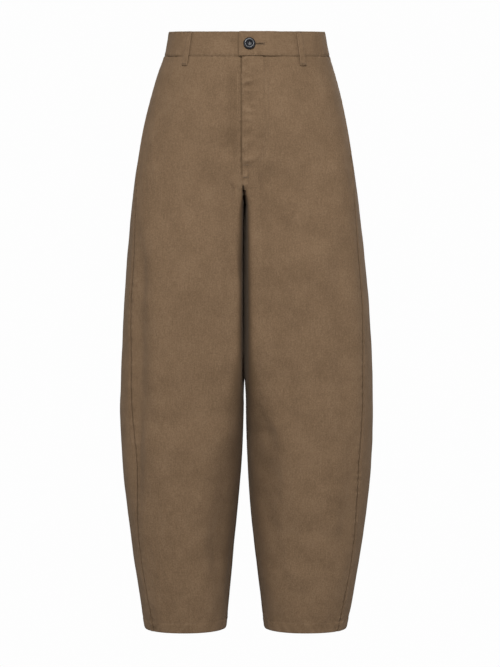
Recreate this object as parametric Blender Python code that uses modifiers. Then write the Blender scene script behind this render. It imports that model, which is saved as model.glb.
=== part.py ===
"""Barrel leg trousers, held up at the waist and filled out, as sewn panels of cloth with a real wall.

Metres, +Z up, the front faces -Y and the wearer's left is +X. The origin is the middle of the waist opening,
level with the middle of the waistband at the side. Sizes are named in millimetres, and `drop` is how far a
point lies below the top of the waistband at the side.
"""

import math
from collections import namedtuple

import bmesh
import bpy
import numpy as np
from mathutils import Matrix, Vector

MM = 0.001
LEFT, RIGHT = 1, -1

CLOTH_COLOUR = (0.165, 0.112, 0.070)
BUTTON_COLOUR = (0.012, 0.014, 0.018)

# Cloth, and the gap that is left at each seam
WALL = 1.5
SEAM_GAP = 0.3
BAND_WALL = 2.2
BAND_PROUD = 0.8

# Heights, as drops below the top of the waistband at the side
BAND_TOP = 2.0
WAIST_SEAM = 41.0
ORIGIN_DROP = 21.5
ARC_TOP = 154.0
CROTCH = 261.0
HEM = 954.0
FRONT_DIP = 12.3
BACK_RISE = 9.0
DIP_FADES_AT = 230.0

# Where the section changes from the hips' single ring to a ring for each leg, and how square each ring is
HIPS_END, LEGS_START = 140.0, 410.0
SEAT_FROM, SEAT_TO = 60.0, 250.0
THIGH_ENDS = 400.0
WAIST_SQUARE, SEAT_SQUARE, THIGH_SQUARE, HEM_SQUARE = 2.1, 3.0, 2.6, 2.2

# The centre front edge, and how the crotch seam hooks under the body
FLY_EDGE_X = -5.0
CROTCH_X, CROTCH_Y = -0.7, 8.0
FRONT_HOOK, BACK_HOOK = 0.5, 0.8
CENTRE_ZONE = 0.16
LEGS_PART_OVER = 30.0

# Between the thighs the narrow space winds to one side and back, so nothing is seen through it
WIND = 4.0
WIND_DEPTH, WIND_WIDTH = 16.0, 34.0
WIND_FROM, WIND_TO = 500.0, 596.0

# One row for each level: the outline's edges to the wearer's left and right, each leg's edge by the gap
# between the legs, the furthest points at the front and back, the side seam's place as a share of the way
# from the centre front (or inseam) round to the centre back (or inseam), and the leg's twist in degrees.
Section = namedtuple("Section", "drop left right gap_left gap_right front back seam twist")
SECTIONS = [
    Section(2, 126.3, 122.2, 0.6, -2.0, -86, 93, 0.480, 0),
    Section(41, 133.4, 129.4, 0.6, -2.0, -91, 99, 0.480, 0),
    Section(66, 141, 138.5, 0.6, -2.0, -96, 107, 0.475, 0),
    Section(105, 151.5, 150, 0.6, -2.0, -101, 118, 0.460, 0),
    Section(143, 159.5, 159.5, 0.6, -2.0, -105, 126, 0.430, 0),
    Section(201, 169.5, 170.5, 0.6, -2.0, -107, 131, 0.402, 0),
    Section(258, 177.5, 179, 0.6, -2.2, -109, 129, 0.394, 0),
    Section(335, 187, 186.5, 0.9, -2.6, -108, 120, 0.394, 0),
    Section(431, 196.5, 194, 1.0, -2.8, -105, 112, 0.396, 0),
    Section(527, 202, 198.5, 1.0, -2.8, -102, 107, 0.382, 2),
    Section(604, 203.5, 200.5, 0.6, -2.8, -100, 107, 0.371, 5),
    Section(681, 201.5, 197.5, 2.4, -5.6, -97, 105, 0.352, 10),
    Section(758, 194.5, 190, 7, -12, -91, 99, 0.347, 14),
    Section(834, 183.5, 180, 15, -19.5, -83, 90, 0.350, 16),
    Section(911, 170.5, 168.5, 24.5, -26.5, -75, 79, 0.341, 16),
    Section(954, 161.5, 161.3, 29.8, -31, -69, 72, 0.334, 16),
]

# Soft folds: on which side, from one place to another (as a share round and a drop), width and height.
# A height below 0 is a trough. Each fades out over a share of its length at both ends.
FOLD_ENDS = 0.25
Fold = namedtuple("Fold", "side share0 drop0 share1 drop1 width height")
FOLDS = [
    Fold(RIGHT, 0.355, 330, 0.318, 800, 11, -4.5),
    Fold(RIGHT, 0.315, 400, 0.282, 760, 14, 2.5),
    Fold(RIGHT, 0.205, 380, 0.190, 690, 15, -3.0),
    Fold(RIGHT, 0.085, 640, 0.100, 900, 20, -7.0),
    Fold(RIGHT, 0.070, 230, 0.060, 420, 12, -3.0),
    Fold(LEFT, 0.110, 480, 0.105, 880, 20, -7.0),
    Fold(LEFT, 0.165, 560, 0.150, 800, 14, 3.0),
    Fold(LEFT, 0.300, 330, 0.285, 720, 16, -3.5),
    Fold(LEFT, 0.330, 640, 0.300, 860, 11, -3.0),
    Fold(LEFT, 0.080, 215, 0.140, 330, 12, -3.0),
    Fold(LEFT, 0.560, 300, 0.580, 700, 18, -4.0),
    Fold(RIGHT, 0.570, 330, 0.590, 760, 18, -4.5),
    Fold(LEFT, 0.800, 270, 0.740, 520, 16, -5.0),
    Fold(RIGHT, 0.810, 265, 0.745, 500, 16, -5.0),
    Fold(LEFT, 0.880, 560, 0.850, 860, 18, -5.0),
    Fold(RIGHT, 0.870, 600, 0.860, 880, 18, -5.0),
]

# Fly, waistband ends, belt loops and button
FLY_WIDTH, FLY_FOOT, FLY_CURVE = 36.0, 207.0, 32.0
FLY_RAISE, FLY_FADE = 1.2, (0.75, 1.2)
SHIELD_SPAN, SHIELD_FOOT = (-8.0, 32.0), 158.0
SHIELD_BEHIND = 2.4
LAP_BEYOND, UNDERLAP = 4.4, 29.0
LAP_RAISE, LAP_FADE = 2.8, (5.0, 27.0)
LOOP_WIDTH, LOOP_WALL = 9.8, 1.6
LOOP_BELOW_TOP, LOOP_BELOW_SEAM = 0.4, 16.0
LOOP_STAND, LOOP_TACK = 2.0, (0.72, 0.86)
LOOPS = {
    "belt_loop_front_left": 0.237,
    "belt_loop_back_left": 0.70,
    "belt_loop_centre_back": 1.0,
    "belt_loop_back_right": 1.30,
    "belt_loop_front_right": 1.751,
}
BUTTON_X, BUTTON_LEVEL = 5.9, 22.1
HOLE_RADIUS, HOLE_SPREAD, HOLES = 1.0, 1.9, 4

# The button's turned outline from the middle of its face to the middle of its back
Rim = namedtuple("Rim", "radius height")
BUTTON_OUTLINE = [
    Rim(0.0, 2.1),
    Rim(3.9, 2.2),
    Rim(4.8, 3.0),
    Rim(6.6, 3.4),
    Rim(8.4, 3.0),
    Rim(9.3, 2.0),
    Rim(9.5, 1.2),
    Rim(8.6, 0.5),
    Rim(6.5, 0.0),
    Rim(0.0, 0.0),
]

# Each main panel is in four lengths, cut level with the crotch, the thigh's foot and the calf
LENGTHS = ("hip", "thigh", "knee", "shin")
THIGH_FOOT, KNEE_FOOT = 501.0, 751.0

# How finely each piece is divided
FRONT_COLUMNS, BACK_COLUMNS = 12, 16
ROWS_ABOVE, ROWS_ARC, ROWS_LENGTH = 5, 8, 7
BAND_COLUMNS, BAND_ROWS = 76, 2
SHIELD_COLUMNS, SHIELD_ROWS = 4, 7
LOOP_COLUMNS, LOOP_ROWS = 2, 8
BUTTON_STEPS, HOLE_STEPS = 28, 10


def smooth(low, high, value):
    """0 below low, 1 above high, and a smooth step between."""
    share = np.clip((value - low) / (high - low), 0.0, 1.0)
    return share * share * (3.0 - 2.0 * share)


def column(name, drop):
    """A column of SECTIONS at any drop, on a smooth curve through its rows."""
    drops = np.array([row.drop for row in SECTIONS], float)
    values = np.array([getattr(row, name) for row in SECTIONS], float)
    slopes = np.gradient(values, drops)
    drop = np.clip(drop, drops[0], drops[-1])
    row = np.clip(np.searchsorted(drops, drop) - 1, 0, len(drops) - 2)
    step = drops[row + 1] - drops[row]
    share = (drop - drops[row]) / step
    return (
        values[row] * (1 + 2 * share) * (1 - share) ** 2
        + slopes[row] * step * share * (1 - share) ** 2
        + values[row + 1] * share**2 * (3 - 2 * share)
        + slopes[row + 1] * step * share**2 * (share - 1)
    )


def rounded(angle, square):
    """Cosine and sine, pushed out towards the corners of a square when `square` is over 2."""
    cosine, sine = np.cos(angle), np.sin(angle)
    reach = (np.abs(cosine) ** square + np.abs(sine) ** square) ** (1.0 / square)
    return cosine / reach, sine / reach


def base_point(side, share, level):
    """A point of one half's outer face with no folds, in mm, and its drop along the cloth.

    `share` runs from the centre front or inseam (0) round the side to the centre back or inseam (1), and
    `level` is the drop at the side seam. Above the crotch the rows bend down to meet the crotch seam.
    """
    to_centre = np.minimum(share, 1.0 - share)
    away = smooth(0.0, CENTRE_ZONE, to_centre)
    turn = np.clip((CROTCH - level) / (CROTCH - ARC_TOP), 0.0, 1.0) * math.pi / 2
    arc_drop = np.where(level < ARC_TOP, level, CROTCH - (CROTCH - ARC_TOP) * (1 - np.cos(turn)))
    arc_drop = np.where(level > CROTCH, level, arc_drop)
    drop = arc_drop + (level - arc_drop) * away

    hook = np.where(share < 0.5, FRONT_HOOK, BACK_HOOK)
    at_centre = np.sin(turn) ** hook
    at_side = 1.0 - smooth(HIPS_END, LEGS_START, drop)
    hip_weight = at_centre + (at_side - at_centre) * away

    outer = column("left", drop) if side == LEFT else -column("right", drop)
    gap = column("gap_left", drop) if side == LEFT else column("gap_right", drop)
    gap = CROTCH_X + (gap - CROTCH_X) * smooth(CROTCH, CROTCH + LEGS_PART_OVER, drop) + side * SEAM_GAP / 2
    front, back = column("front", drop), column("back", drop)

    square = WAIST_SQUARE + (SEAT_SQUARE - WAIST_SQUARE) * smooth(SEAT_FROM, SEAT_TO, drop)
    cosine, sine = rounded(math.pi * (0.5 - share), square)
    centre = np.where(share < 0.5, FLY_EDGE_X, 0.0)
    hip_x = centre + (outer - centre) * cosine
    hip_y = np.where(sine > 0, front * sine, -back * sine)

    square = THIGH_SQUARE + (HEM_SQUARE - THIGH_SQUARE) * smooth(THIGH_ENDS, HEM, drop)
    cosine, sine = rounded(math.pi * (1.0 - 2.0 * share) - np.radians(column("twist", drop)), square)
    leg_x = (outer + gap) / 2 + (outer - gap) / 2 * cosine
    leg_y = np.where(sine > 0, CROTCH_Y + (front - CROTCH_Y) * sine, CROTCH_Y - (back - CROTCH_Y) * sine)

    x = leg_x + (hip_x - leg_x) * hip_weight
    y = leg_y + (hip_y - leg_y) * hip_weight
    between = smooth(ARC_TOP, CROTCH, drop) * (1.0 - smooth(WIND_FROM, WIND_TO, drop))
    x = x + WIND * between * np.tanh((y - CROTCH_Y) / WIND_DEPTH) * np.exp(-((x / WIND_WIDTH) ** 2))

    facing = np.sin(math.pi * (0.5 - share))
    dip = np.where(facing > 0, FRONT_DIP, BACK_RISE) * facing
    dip = dip * (1.0 - smooth(WAIST_SEAM, DIP_FADES_AT, level))
    return np.stack([x, y, ORIGIN_DROP - drop - dip], axis=-1), drop


def half_girth(drop):
    """Length round half of the hips' ring, from the centre front to the centre back."""
    depth = (column("back", drop) - column("front", drop)) / 2
    return math.pi / 2 * (column("left", drop) + depth)


def leg_girth(drop):
    """Length round one leg's ring."""
    width = column("left", drop) - column("gap_left", drop)
    return math.pi / 2 * (width + column("back", drop) - column("front", drop))


def normal_of(side, share, level):
    """The outward normal of the unfolded surface."""
    ahead = np.clip(share + 0.002, 0, 1)
    behind = np.clip(share - 0.002, 0, 1)
    across = base_point(side, ahead, level)[0] - base_point(side, behind, level)[0]
    down = base_point(side, share, level + 0.5)[0] - base_point(side, share, level - 0.5)[0]
    normal = np.cross(down, across) * side
    return normal / np.linalg.norm(normal, axis=-1, keepdims=True)


def fold_height(side, share, drop):
    """How far the folds push the cloth out (or in, below 0) at a place."""
    height = np.zeros_like(share)
    for fold in FOLDS:
        if fold.side != side:
            continue
        along = (drop - fold.drop0) / (fold.drop1 - fold.drop0)
        middle = fold.share0 + (fold.share1 - fold.share0) * np.clip(along, 0, 1)
        across = (share - middle) * leg_girth(drop) / fold.width
        ends = smooth(0.0, FOLD_ENDS, along) * (1.0 - smooth(1.0 - FOLD_ENDS, 1.0, along))
        height = height + fold.height * ends * np.exp(-0.5 * across**2)
    return height


def fly_raise(side, point, drop):
    """How far the fly's lap stands out from the front: the J shape that its stitching outlines."""
    if side == RIGHT:
        return np.zeros_like(drop)
    across = (point[..., 0] - FLY_EDGE_X) / FLY_WIDTH
    below = np.clip((drop - (FLY_FOOT - FLY_CURVE)) / FLY_CURVE, 0, None)
    reach = np.sqrt(across**2 + below**2)
    return FLY_RAISE * (1.0 - smooth(*FLY_FADE, reach)) * (point[..., 1] < 0)


def cloth_faces(side, share, level, stand=0.0, wall=WALL, plain=False):
    """The outer and inner points of a patch of cloth that stands `stand` mm off the surface."""
    point, drop = base_point(side, share, level)
    normal = normal_of(side, share, level)
    lift = np.zeros_like(drop) + stand
    if not plain:
        lift = lift + fold_height(side, share, drop) + fly_raise(side, point, drop)
    outer = point + normal * lift[..., None]
    return outer, outer - normal * wall


def draw_in(points, amount, axis, first, last):
    """Moves the edge rows or columns of a grid of points towards the next ones, to leave a seam's gap."""
    moved = np.moveaxis(points.copy(), axis, 0)
    for edge, inside, wanted in ((0, 1, first), (-1, -2, last)):
        if wanted:
            way = moved[inside] - moved[edge]
            moved[edge] += way / np.linalg.norm(way, axis=-1, keepdims=True) * amount
    return np.moveaxis(moved, 0, axis)


def new_object(name, mesh, collection, colour, roughness):
    """An object with its own material, in the part's collection."""
    material = bpy.data.materials.new(name)
    material.use_nodes = True
    shader = material.node_tree.nodes["Principled BSDF"]
    shader.inputs["Base Color"].default_value = (*colour, 1.0)
    shader.inputs["Roughness"].default_value = roughness
    shader.inputs["Metallic"].default_value = 0.0
    mesh.materials.append(material)
    made = bpy.data.objects.new(name, mesh)
    collection.objects.link(made)
    return made


def closed_sheet(name, outer, inner, collection):
    """A closed wall of cloth between two grids of points in mm."""
    rows, columns = outer.shape[:2]
    form = bmesh.new()
    skins = [[[form.verts.new(point * MM) for point in row] for row in grid] for grid in (outer, inner)]
    rim = []
    for place in range(columns - 1):
        rim += [[(row, place), (row, place + 1)] for row in (0, rows - 1)]
        for row in range(rows - 1):
            corners = [(row, place), (row + 1, place), (row + 1, place + 1), (row, place + 1)]
            for skin in skins:
                form.faces.new([skin[down][along] for down, along in corners])
    for row in range(rows - 1):
        rim += [[(row, place), (row + 1, place)] for place in (0, columns - 1)]
    front_skin, back_skin = skins
    for (row, place), (next_row, next_place) in rim:
        near = [front_skin[row][place], front_skin[next_row][next_place]]
        far = [back_skin[next_row][next_place], back_skin[row][place]]
        form.faces.new(near + far)
    bmesh.ops.recalc_face_normals(form, faces=form.faces)
    mesh = bpy.data.meshes.new(name)
    form.to_mesh(mesh)
    form.free()
    mesh.shade_smooth()
    mesh.set_sharp_from_angle(angle=math.radians(50))
    return new_object(name, mesh, collection, CLOTH_COLOUR, 0.9)


def levels():
    """Each length's rows, closer together where the crotch seam bends."""
    above = np.linspace(WAIST_SEAM, ARC_TOP, ROWS_ABOVE + 1)
    arc = CROTCH - (CROTCH - ARC_TOP) * np.linspace(1, 0, ROWS_ARC + 1) ** 2
    cuts = (CROTCH, THIGH_FOOT, KNEE_FOOT, HEM)
    legs = [np.linspace(top, foot, ROWS_LENGTH + 1) for top, foot in zip(cuts, cuts[1:])]
    return dict(zip(LENGTHS, [np.concatenate([above, arc[1:]]), *legs]))


def make_panel(name, side, back, collection):
    """One of the four main panels, between the centre or inseam and the side seam, in its lengths."""
    columns = BACK_COLUMNS if back else FRONT_COLUMNS
    across = np.linspace(0, 1, columns + 1)[None, :]
    for length, rows in levels().items():
        seam = column("seam", rows)[:, None]
        share = seam + (1 - seam) * across if back else seam * across
        level = np.broadcast_to(rows[:, None], share.shape)
        top_gap = SEAM_GAP if length == LENGTHS[0] else SEAM_GAP / 2
        grids = []
        for grid in cloth_faces(side, share, level):
            grid = draw_in(grid, SEAM_GAP / 2, 1, True, True)
            grid = draw_in(grid, top_gap, 0, True, False)
            grids.append(draw_in(grid, SEAM_GAP / 2, 0, False, length != LENGTHS[-1]))
        closed_sheet(f"{name}_{length}", *grids, collection)


def band_faces(around, level, stand, wall):
    """Points of the waistband, where `around` runs from the centre front (0) by the left to it again (2)."""
    around = np.mod(around + 1, 2) - 1
    share = np.abs(around)
    left = cloth_faces(LEFT, share, level, stand, wall, plain=True)
    right = cloth_faces(RIGHT, share, level, stand, wall, plain=True)
    on_left = (around >= 0)[..., None]
    return [np.where(on_left, *skins) for skins in zip(left, right)]


def make_waistband(collection):
    """One long band, whose left end laps over the right end at the centre front."""
    round_half = half_girth(WAIST_SEAM)
    around = np.linspace(-LAP_BEYOND / round_half, 2 + UNDERLAP / round_half, BAND_COLUMNS + 1)
    level = np.linspace(BAND_TOP, WAIST_SEAM, BAND_ROWS + 1)
    around, level = np.meshgrid(around, level)
    past_end = around * round_half - UNDERLAP
    stand = BAND_PROUD + LAP_RAISE * (1.0 - smooth(*LAP_FADE, past_end))
    outer, inner = band_faces(around, level, stand, BAND_WALL)
    return closed_sheet("waistband", outer, inner, collection)


def make_fly_shield(collection):
    """The underlap behind the fly, sewn to the right front and lying behind the left."""
    low = np.linspace(WAIST_SEAM, SHIELD_FOOT, SHIELD_ROWS + 1)
    across = np.linspace(*SHIELD_SPAN, SHIELD_COLUMNS + 1)
    grids = []
    for side, spans in ((RIGHT, across[across < 0]), (LEFT, across[across >= 0])):
        width = abs(column("left" if side == LEFT else "right", low)[:, None] - side * FLY_EDGE_X)
        share = np.arcsin(np.abs(spans)[None, :] / width) / math.pi
        level = np.broadcast_to(low[:, None], share.shape)
        grids.append(cloth_faces(side, share, level, -SHIELD_BEHIND, WALL, plain=True))
    skins = [np.concatenate(skin, axis=1) for skin in zip(*grids)]
    skins = [draw_in(skin, SEAM_GAP, 0, True, False) for skin in skins]
    return closed_sheet("fly_shield", *skins, collection)


def make_belt_loop(name, around, collection):
    """A belt loop, sewn into the top edge of the band and tacked down below the waist seam."""
    level = np.linspace(BAND_TOP + LOOP_BELOW_TOP, WAIST_SEAM + LOOP_BELOW_SEAM, LOOP_ROWS + 1)
    down = np.linspace(0, 1, LOOP_ROWS + 1)
    across = around + np.linspace(-0.5, 0.5, LOOP_COLUMNS + 1) * LOOP_WIDTH / half_girth(WAIST_SEAM)
    across, level = np.meshgrid(across, level)
    over_band = BAND_PROUD * (1 - smooth(*LOOP_TACK, down))
    bulge = LOOP_STAND * np.sqrt(np.sin(math.pi * down))
    stand = (LOOP_WALL + SEAM_GAP + over_band + bulge)[:, None] + 0.0 * across
    outer, inner = band_faces(across, level, stand, LOOP_WALL)
    return closed_sheet(name, outer, inner, collection)


def button_seat():
    """Where the button's back lies on the waistband's lap, facing the way the cloth faces there."""
    half_width = column("left", BUTTON_LEVEL) - FLY_EDGE_X
    share = np.array([math.asin((BUTTON_X - FLY_EDGE_X) / half_width) / math.pi])
    level = np.array([BUTTON_LEVEL])
    stand = BAND_PROUD + LAP_RAISE + SEAM_GAP
    seat, _ = cloth_faces(LEFT, share, level, stand, plain=True)
    facing = Vector(normal_of(LEFT, share, level)[0]).to_track_quat("Z", "Y")
    return Matrix.Translation(Vector(seat[0] * MM)) @ facing.to_matrix().to_4x4()


def make_button(collection, cutters):
    """A turned button with a raised rim and four holes, just clear of the waistband's lap."""
    mesh = bpy.data.meshes.new("button")
    points = [(rim.radius * MM, 0.0, rim.height * MM) for rim in BUTTON_OUTLINE]
    mesh.from_pydata(points, [(i, i + 1) for i in range(len(points) - 1)], [])
    button = new_object("button", mesh, collection, BUTTON_COLOUR, 0.25)
    button.matrix_world = button_seat()
    turned = button.modifiers.new("turned", "SCREW")
    turned.steps = turned.render_steps = BUTTON_STEPS
    turned.use_merge_vertices = True
    turned.merge_threshold = 0.00005

    depth = 4 * max(rim.height for rim in BUTTON_OUTLINE) * MM
    for number in range(HOLES):
        angle = math.tau * (number + 0.5) / HOLES
        form = bmesh.new()
        radius = HOLE_RADIUS * MM
        bmesh.ops.create_cone(
            form, cap_ends=True, segments=HOLE_STEPS, radius1=radius, radius2=radius, depth=depth
        )
        drill_mesh = bpy.data.meshes.new(f"button_drill_{number}")
        form.to_mesh(drill_mesh)
        form.free()
        drill = bpy.data.objects.new(f"button_drill_{number}", drill_mesh)
        offset = Vector((math.cos(angle), math.sin(angle), 0.0)) * HOLE_SPREAD * MM
        drill.matrix_world = button.matrix_world @ Matrix.Translation(offset)
        drill.hide_render = True
        drill.display_type = "WIRE"
        cutters.objects.link(drill)
        cut = button.modifiers.new(f"hole_{number}", "BOOLEAN")
        cut.operation = "DIFFERENCE"
        cut.object = drill


def main():
    for old in list(bpy.data.objects):
        bpy.data.objects.remove(old)
    trousers = bpy.data.collections.new("barrel_leg_trousers")
    cutters = bpy.data.collections.new("cutters")
    for collection in (trousers, cutters):
        bpy.context.scene.collection.children.link(collection)

    for side, word in ((LEFT, "left"), (RIGHT, "right")):
        make_panel(f"front_{word}", side, False, trousers)
        make_panel(f"back_{word}", side, True, trousers)
    make_waistband(trousers)
    make_fly_shield(trousers)
    for name, around in LOOPS.items():
        make_belt_loop(name, around, trousers)
    make_button(trousers, cutters)


main()
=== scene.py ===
"""Barrel leg trousers in brown cotton twill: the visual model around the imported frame.

Sizes are in millimetres and turned into metres where a mesh is made. A place on the cloth is a `share` of
the way round one half, from the centre front or inseam (0) to the centre back or inseam (1), and a `level`,
which is how far below the waistband's top edge the side seam is there.
"""

import logging
import math
from collections.abc import Iterable
from dataclasses import dataclass, field
from enum import Enum

import bpy
import numpy as np
from mathutils import Matrix, Vector

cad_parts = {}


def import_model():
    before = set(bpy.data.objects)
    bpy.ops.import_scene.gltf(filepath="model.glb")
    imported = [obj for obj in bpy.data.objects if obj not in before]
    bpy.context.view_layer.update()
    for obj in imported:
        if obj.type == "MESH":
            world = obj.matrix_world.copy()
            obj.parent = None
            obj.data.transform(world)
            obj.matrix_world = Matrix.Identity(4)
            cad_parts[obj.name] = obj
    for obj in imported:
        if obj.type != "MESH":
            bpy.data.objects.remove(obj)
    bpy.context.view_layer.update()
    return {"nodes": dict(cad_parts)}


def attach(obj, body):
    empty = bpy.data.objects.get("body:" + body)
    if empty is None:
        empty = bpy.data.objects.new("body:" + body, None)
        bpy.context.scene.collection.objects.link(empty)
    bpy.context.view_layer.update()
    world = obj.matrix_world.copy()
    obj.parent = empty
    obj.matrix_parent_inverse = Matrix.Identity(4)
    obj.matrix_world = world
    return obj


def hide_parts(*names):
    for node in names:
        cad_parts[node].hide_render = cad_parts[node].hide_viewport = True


LOG = logging.getLogger("trousers")
MM = 0.001

Grid = np.ndarray


class Side(Enum):
    """The wearer's left half lies at +X and the right half at -X."""

    LEFT = 1
    RIGHT = -1


class Half(Enum):
    """Whether a panel is a front or a back."""

    FRONT = "front"
    BACK = "back"


@dataclass(frozen=True)
class Section:
    """The filled-out shape at one level, in mm: the outline's edges, the gap, the depth and the seams."""

    drop: float
    left: float
    right: float
    gap_left: float
    gap_right: float
    front: float
    back: float
    seam: float
    twist: float


@dataclass(frozen=True)
class Fold:
    """A soft fold between two places, each a share round and a drop. A height below 0 is a trough."""

    side: Side
    share0: float
    drop0: float
    share1: float
    drop1: float
    width: float
    height: float


@dataclass(frozen=True)
class InnerPlane:
    """How wide the plane is, in mm, where a lower leg turns in to face the other, and how steeply it turns."""

    side: Side
    drop: float
    width: float
    slope: float


LEFT, RIGHT = Side.LEFT, Side.RIGHT
LENGTHS = ("hip", "thigh", "knee", "shin")

SECTIONS = (
    Section(2, 126.3, 122.2, 0.6, -2.0, -86, 93, 0.480, 0),
    Section(41, 133.4, 129.4, 0.6, -2.0, -91, 99, 0.480, 0),
    Section(66, 141, 138.5, 0.6, -2.0, -96, 107, 0.475, 0),
    Section(105, 151.5, 150, 0.6, -2.0, -101, 118, 0.460, 0),
    Section(143, 159.5, 159.5, 0.6, -2.0, -105, 126, 0.430, 0),
    Section(201, 169.5, 170.5, 0.6, -2.0, -107, 131, 0.402, 0),
    Section(258, 177.5, 179, 0.6, -2.2, -109, 129, 0.394, 0),
    Section(335, 187, 186.5, 1.9, -3.5, -108, 120, 0.394, 0),
    Section(431, 196.5, 194, 2.2, -3.7, -105, 112, 0.396, 0),
    Section(527, 202, 198.5, 1.8, -3.5, -102, 107, 0.382, 2),
    Section(604, 203.5, 200.5, 0.8, -2.9, -100, 107, 0.371, 5),
    Section(681, 201.5, 197.5, 2.4, -5.6, -97, 105, 0.352, 10),
    Section(758, 194.5, 190, 7, -12, -91, 99, 0.347, 14),
    Section(834, 183.5, 180, 15, -19.5, -83, 90, 0.350, 16),
    Section(911, 170.5, 168.5, 24.5, -26.5, -75, 79, 0.341, 16),
    Section(954, 161.5, 161.3, 29.8, -31, -69, 72, 0.334, 16),
)

INNER_PLANES = (
    InnerPlane(RIGHT, 610, 2, 0.0),
    InnerPlane(RIGHT, 671, 12, 0.30),
    InnerPlane(RIGHT, 751, 38, 0.42),
    InnerPlane(RIGHT, 847, 42, 0.40),
    InnerPlane(RIGHT, 911, 34, 0.30),
    InnerPlane(RIGHT, 954, 24, 0.10),
    InnerPlane(LEFT, 560, 16, 0.0),
    InnerPlane(LEFT, 640, 50, 0.26),
    InnerPlane(LEFT, 720, 48, 0.38),
    InnerPlane(LEFT, 815, 34, 0.40),
    InnerPlane(LEFT, 911, 14, 0.25),
    InnerPlane(LEFT, 954, 8, 0.10),
)

# The large folds. The solids have them too, the two at the outer sides of the legs a little shallower.
LARGE_FOLDS = (
    Fold(RIGHT, 0.372, 290, 0.334, 800, 11, -7.6),
    Fold(RIGHT, 0.315, 400, 0.282, 760, 14, 2.5),
    Fold(RIGHT, 0.205, 380, 0.190, 690, 15, -3.0),
    Fold(RIGHT, 0.085, 640, 0.100, 900, 20, -7.0),
    Fold(RIGHT, 0.070, 230, 0.060, 420, 12, -3.0),
    Fold(LEFT, 0.110, 480, 0.105, 880, 20, -7.0),
    Fold(LEFT, 0.165, 560, 0.150, 800, 14, 3.0),
    Fold(LEFT, 0.332, 300, 0.312, 720, 14, -4.0),
    Fold(LEFT, 0.330, 640, 0.300, 860, 11, -3.0),
    Fold(LEFT, 0.080, 215, 0.140, 330, 12, -3.0),
    Fold(LEFT, 0.560, 300, 0.580, 700, 18, -4.0),
    Fold(RIGHT, 0.570, 330, 0.590, 760, 18, -4.5),
    Fold(LEFT, 0.800, 270, 0.740, 520, 16, -5.0),
    Fold(RIGHT, 0.810, 265, 0.745, 500, 16, -5.0),
    Fold(LEFT, 0.880, 560, 0.850, 860, 18, -5.0),
    Fold(RIGHT, 0.870, 600, 0.860, 880, 18, -5.0),
)

# Smaller creases, placed one by one on the front and in the same manner on the hidden sides
SMALL_FOLDS = (
    Fold(RIGHT, 0.050, 246, 0.078, 292, 3.2, -2.2),
    Fold(RIGHT, 0.030, 150, 0.085, 262, 9.0, -1.6),
    Fold(RIGHT, 0.090, 232, 0.130, 262, 5.0, -0.8),
    Fold(RIGHT, 0.030, 40, 0.038, 238, 9.0, -4.5),
    Fold(RIGHT, 0.270, 282, 0.262, 420, 9.0, -1.6),
    Fold(RIGHT, 0.150, 300, 0.175, 352, 6.0, -1.1),
    Fold(RIGHT, 0.330, 560, 0.300, 640, 7.0, -1.2),
    Fold(RIGHT, 0.240, 520, 0.230, 700, 8.0, 1.2),
    Fold(RIGHT, 0.120, 700, 0.160, 780, 8.0, -1.3),
    Fold(RIGHT, 0.160, 790, 0.110, 870, 8.0, 1.2),
    Fold(LEFT, 0.045, 205, 0.095, 275, 5.0, -1.6),
    Fold(LEFT, 0.100, 190, 0.150, 250, 8.0, -1.0),
    Fold(LEFT, 0.230, 120, 0.250, 240, 14.0, -1.6),
    Fold(LEFT, 0.215, 330, 0.220, 640, 9.0, 1.8),
    Fold(LEFT, 0.240, 560, 0.215, 760, 7.0, -1.4),
    Fold(LEFT, 0.090, 300, 0.075, 430, 9.0, -1.2),
    Fold(LEFT, 0.160, 660, 0.120, 720, 8.0, -1.4),
    Fold(LEFT, 0.130, 790, 0.160, 880, 8.0, 1.3),
    Fold(LEFT, 0.950, 236, 0.900, 300, 5.0, -2.6),
    Fold(RIGHT, 0.955, 238, 0.905, 296, 5.0, -2.2),
    Fold(LEFT, 0.900, 250, 0.820, 310, 9.0, -2.2),
    Fold(RIGHT, 0.890, 255, 0.800, 330, 9.0, -2.4),
    Fold(LEFT, 0.700, 520, 0.820, 600, 10.0, -2.0),
    Fold(LEFT, 0.640, 560, 0.760, 640, 9.0, 1.6),
    Fold(RIGHT, 0.720, 500, 0.840, 590, 10.0, -2.2),
    Fold(RIGHT, 0.600, 560, 0.700, 640, 9.0, 1.4),
    Fold(LEFT, 0.520, 420, 0.500, 640, 10.0, -1.6),
    Fold(RIGHT, 0.500, 380, 0.480, 600, 10.0, -1.8),
    Fold(RIGHT, 0.660, 700, 0.740, 860, 11.0, -1.8),
    Fold(LEFT, 0.680, 690, 0.640, 850, 11.0, -1.8),
)


def smooth(low: float, high: float, value: Grid) -> Grid:
    """0 below low, 1 above high, and a smooth step between."""
    share = np.clip((value - low) / (high - low), 0.0, 1.0)
    return share * share * (3.0 - 2.0 * share)


def bell(value: Grid, width: float, middle: float = 0.0) -> Grid:
    """1 at the middle, and fading out to both sides over the width."""
    return np.exp(-(((value - middle) / width) ** 2))


def edged(count: int, pull: float) -> Grid:
    """Places from 0 to 1 that lie closest together at both ends."""
    even = np.linspace(0.0, 1.0, count + 1)
    return even - pull * np.sin(math.tau * even) / math.tau


def spaced(place: Grid, density: Grid, count: int) -> Grid:
    """Places between the first and the last of `place`, closest together where the density is high."""
    total = np.cumsum(density)
    total = (total - total[0]) / (total[-1] - total[0])
    return np.interp(np.linspace(0, 1, count + 1), total, place)


def run_of(path: Grid) -> Grid:
    """How far each point of a path is from its start, along it."""
    return np.concatenate([[0.0], np.cumsum(np.linalg.norm(np.diff(path, axis=0), axis=1))])


def on_path(values: Grid, run: Grid, place: Grid) -> Grid:
    """What the values of a path's points come to at places measured along it."""
    return np.stack([np.interp(place, run, values[:, axis]) for axis in range(3)], axis=-1)


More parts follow.
